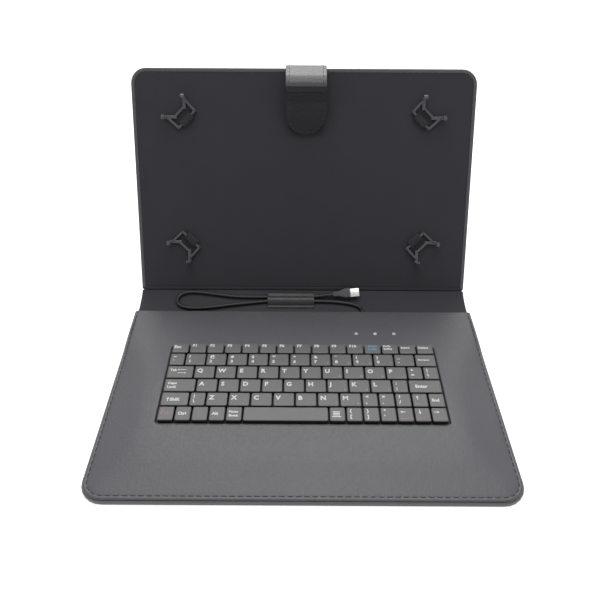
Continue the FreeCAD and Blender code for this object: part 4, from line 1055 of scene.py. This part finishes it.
# the rubber sheet has a pit under each dome, and the domes collapse into them as the keys go down
web = cad_copy("dome_web", "dome_sheet")
for v in web.data.vertices:
    if v.co.z > WEB_TOP * MM:
        v.co.z = (WEB_LOW + WEB_GAP) * MM
dress(web, silicone, "base", ["dome_sheet"])
for node, (verts, faces) in seats.items():
    domes = dress(build(f"domes_{node}", verts, faces), silicone, "base")
    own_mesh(domes)
for node, (verts, faces) in caps.items():
    cap = build(f"cap_{node}", verts, faces)
    cap.data.set_sharp_from_angle(angle=math.radians(60))
    dress(cap, cap_plastic_painted_sheen, f"cap_{node}", [node])
    # the cap's faces below the skirt's top get the darker plastic: painted shade on its sides
    cap.data.materials.append(skirt_plastic_painted_shade)
    for side in cap.data.polygons:
        side.material_index = int(side.center.z < SKIRT_SHADE_TOP * MM)
    made = prints[node]
    if made.faces:
        mesh = bpy.data.meshes.new(f"legend_{node}")
        bmesh.ops.recalc_face_normals(made, faces=made.faces)
        made.to_mesh(mesh)
        legend = in_scene(f"legend_{node}", mesh)
        for ink in INKS:
            mesh.materials.append(ink)
        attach(legend, f"cap_{node}")
    made.free()

# Stitching

def stitch_tree():
    """Lays one stitch after another along an edge line: spacing, length and thickness in metres."""
    tree = bpy.data.node_groups.new("stitch_run", "GeometryNodeTree")
    ids = {}
    for label, kind in (("Geometry", "Geometry"), ("Spacing", "Float"), ("Length", "Float"),
                        ("Thickness", "Float"), ("Thread", "Material")):
        socket = tree.interface.new_socket(label, in_out="INPUT", socket_type=f"NodeSocket{kind}")
        ids[label] = socket.identifier
    tree.interface.new_socket("Geometry", in_out="OUTPUT", socket_type="NodeSocketGeometry")
    given = add(tree, "NodeGroupInput").outputs
    line = add(tree, "GeometryNodeMeshToCurve", {"Mesh": given["Geometry"]})
    points = add(tree, "GeometryNodeCurveToPoints", {"Curve": line.outputs[0], "Length": given["Spacing"]},
                 mode="LENGTH")
    bead = add(tree, "GeometryNodeMeshUVSphere", {"Segments": 6, "Rings": 5, "Radius": 0.5})
    form = add(tree, "ShaderNodeCombineXYZ", {"X": given["Thickness"], "Y": given["Thickness"],
                                              "Z": given["Length"]})
    stitch = add(tree, "GeometryNodeTransform", {"Geometry": bead.outputs["Mesh"], "Scale": form.outputs[0]})
    sewn = add(tree, "GeometryNodeInstanceOnPoints", {
        "Points": points.outputs["Points"], "Instance": stitch.outputs[0],
        "Rotation": points.outputs["Rotation"]})
    real = add(tree, "GeometryNodeRealizeInstances", {"Geometry": sewn.outputs[0]})
    soft = add(tree, "GeometryNodeSetShadeSmooth", {"Geometry": real.outputs[0]})
    dyed = add(tree, "GeometryNodeSetMaterial", {"Geometry": soft.outputs[0], "Material": given["Thread"]})
    add(tree, "NodeGroupOutput", {0: dyed.outputs[0]})
    return tree, ids


STITCHES, STITCH_IDS = stitch_tree()


def sew(name, lines, body, place=FLAT, spacing=5.0, length=4.0, thickness=0.62, yarn=thread):
    """Sews along open lines of millimetre points, as one piece on one body."""
    verts, edges = [], []
    for points in lines:
        edges += [(len(verts) + k, len(verts) + k + 1) for k in range(len(points) - 1)]
        verts += [place @ (Vector(p) * MM) for p in points]
    mesh = bpy.data.meshes.new(name + "_line")
    mesh.from_pydata(verts, edges, [])
    guide = in_scene(name + "_line", mesh)
    run = guide.modifiers.new("stitches", "NODES")
    run.node_group = STITCHES
    for label, value in (("Spacing", spacing * MM), ("Length", length * MM), ("Thickness", thickness * MM),
                         ("Thread", yarn)):
        run[STITCH_IDS[label]] = value
    dress(to_mesh(guide, name), yarn, body)


def finely(points, steps=6):
    """The same line with more points, so that stitches sit evenly."""
    runs = zip(points, points[1:])
    return [tuple(Vector(a).lerp(Vector(b), k / steps)) for a, b in runs for k in range(steps)] + [points[-1]]


# the points of a loop from one corner to the next: an arc and a side
AROUND, DECK_AROUND = ARC_STEPS + SIDE_STEPS, ARC_STEPS + DECK_SIDE
deck_line = sewn_down(2.8, 7.75)
sew("deck_seam", [finely(deck_line[3 * DECK_AROUND + ARC_STEPS:] + deck_line[:2 * DECK_AROUND + 1])], "base")
for name, line in (("lid_face_seam", lifted(lid_loop(3.0), -0.08)),
                   ("lid_back_seam", lifted(lid_loop(3.1, HEM_DROP, HEM_INSET), -5.9))):
    sew(name, [finely(line[AROUND + ARC_STEPS:] + line[:1])], "lid", LID)
leg_line = lifted(leg_loop(-3.0, -3.0), -0.62)
sew("leg_seam", [finely(leg_line[3 * AROUND:] + leg_line[:2 * AROUND + 1])], "leg", LEG)


def band_edges(path, inset, lift):
    """Two lines along a band's edges, on the face that lies to the left of its path."""
    lines = ([], [])
    for y, z, along in headings(path):
        for line, side in zip(lines, (-1, 1)):
            line.append((STRAP_X + side * (STRAP_HALF - inset), y - along.y * lift, z + along.x * lift))
    return lines


def trimmed(path, head, tail=0.0):
    """The path without what lies near its two ends, so that no stitch crosses a fold."""
    return [p for p in path if math.dist(p, path[0]) >= head and math.dist(p, path[-1]) >= tail]


# the strap's seams: distance from its edge, and spacing, length and thickness of a stitch
STRAP_INSET, STRAP_STITCH = 2.7, (4.2, 2.9, 0.55)
bridge_lines = band_edges(trimmed(bridge_path, 3.6, 2.6), STRAP_INSET, -STRAP_THICK / 2)
sew("bridge_seam", bridge_lines, "strap_bridge_sheet", LID, *STRAP_STITCH, strap_thread)


def u_line(path, radius, lift):
    """A seam down one side of a rounded band end, round it and up the other side."""
    short = [p for p in path if math.dist(p, path[-1]) >= STRAP_INSET]
    last = between(path[-1], short[-1], STRAP_INSET / math.dist(path[-1], short[-1]))
    short = joined(short, eased(short[-1], last, 8))
    widths = round_end(short, STRAP_HALF - STRAP_INSET, radius - STRAP_INSET)
    along = (Vector(short[-1]) - Vector(short[0])).normalized()
    left, right = ([(STRAP_X + side * w, y - along.y * lift, z + along.x * lift)
                    for (y, z), w in zip(short, widths)] for side in (-1, 1))
    return left + right[::-1]


sew("tab_seam", [u_line(trimmed(tab_path, 3.4), TAB_CORNER, -STRAP_THICK / 2 - 0.05)], "strap_tab_end", LID,
    *STRAP_STITCH, strap_thread)
sew("root_seam", [u_line(trimmed(root_path, 2.6), ROOT_CORNER, STRAP_THICK / 2)], "lid", LID, *STRAP_STITCH)
BAND_INSET, BAND_SEAMS = 1.2, ((98.0, 3.75), (111.9, 6.98))
band_lines = [straight((LOOP_LEFT + BAND_INSET, y, z), (LOOP_RIGHT - BAND_INSET, y, z), 12)
              for y, z in BAND_SEAMS]
sew("band_seam", band_lines, "spine", FLAT, 2.6, 1.9, 0.4)
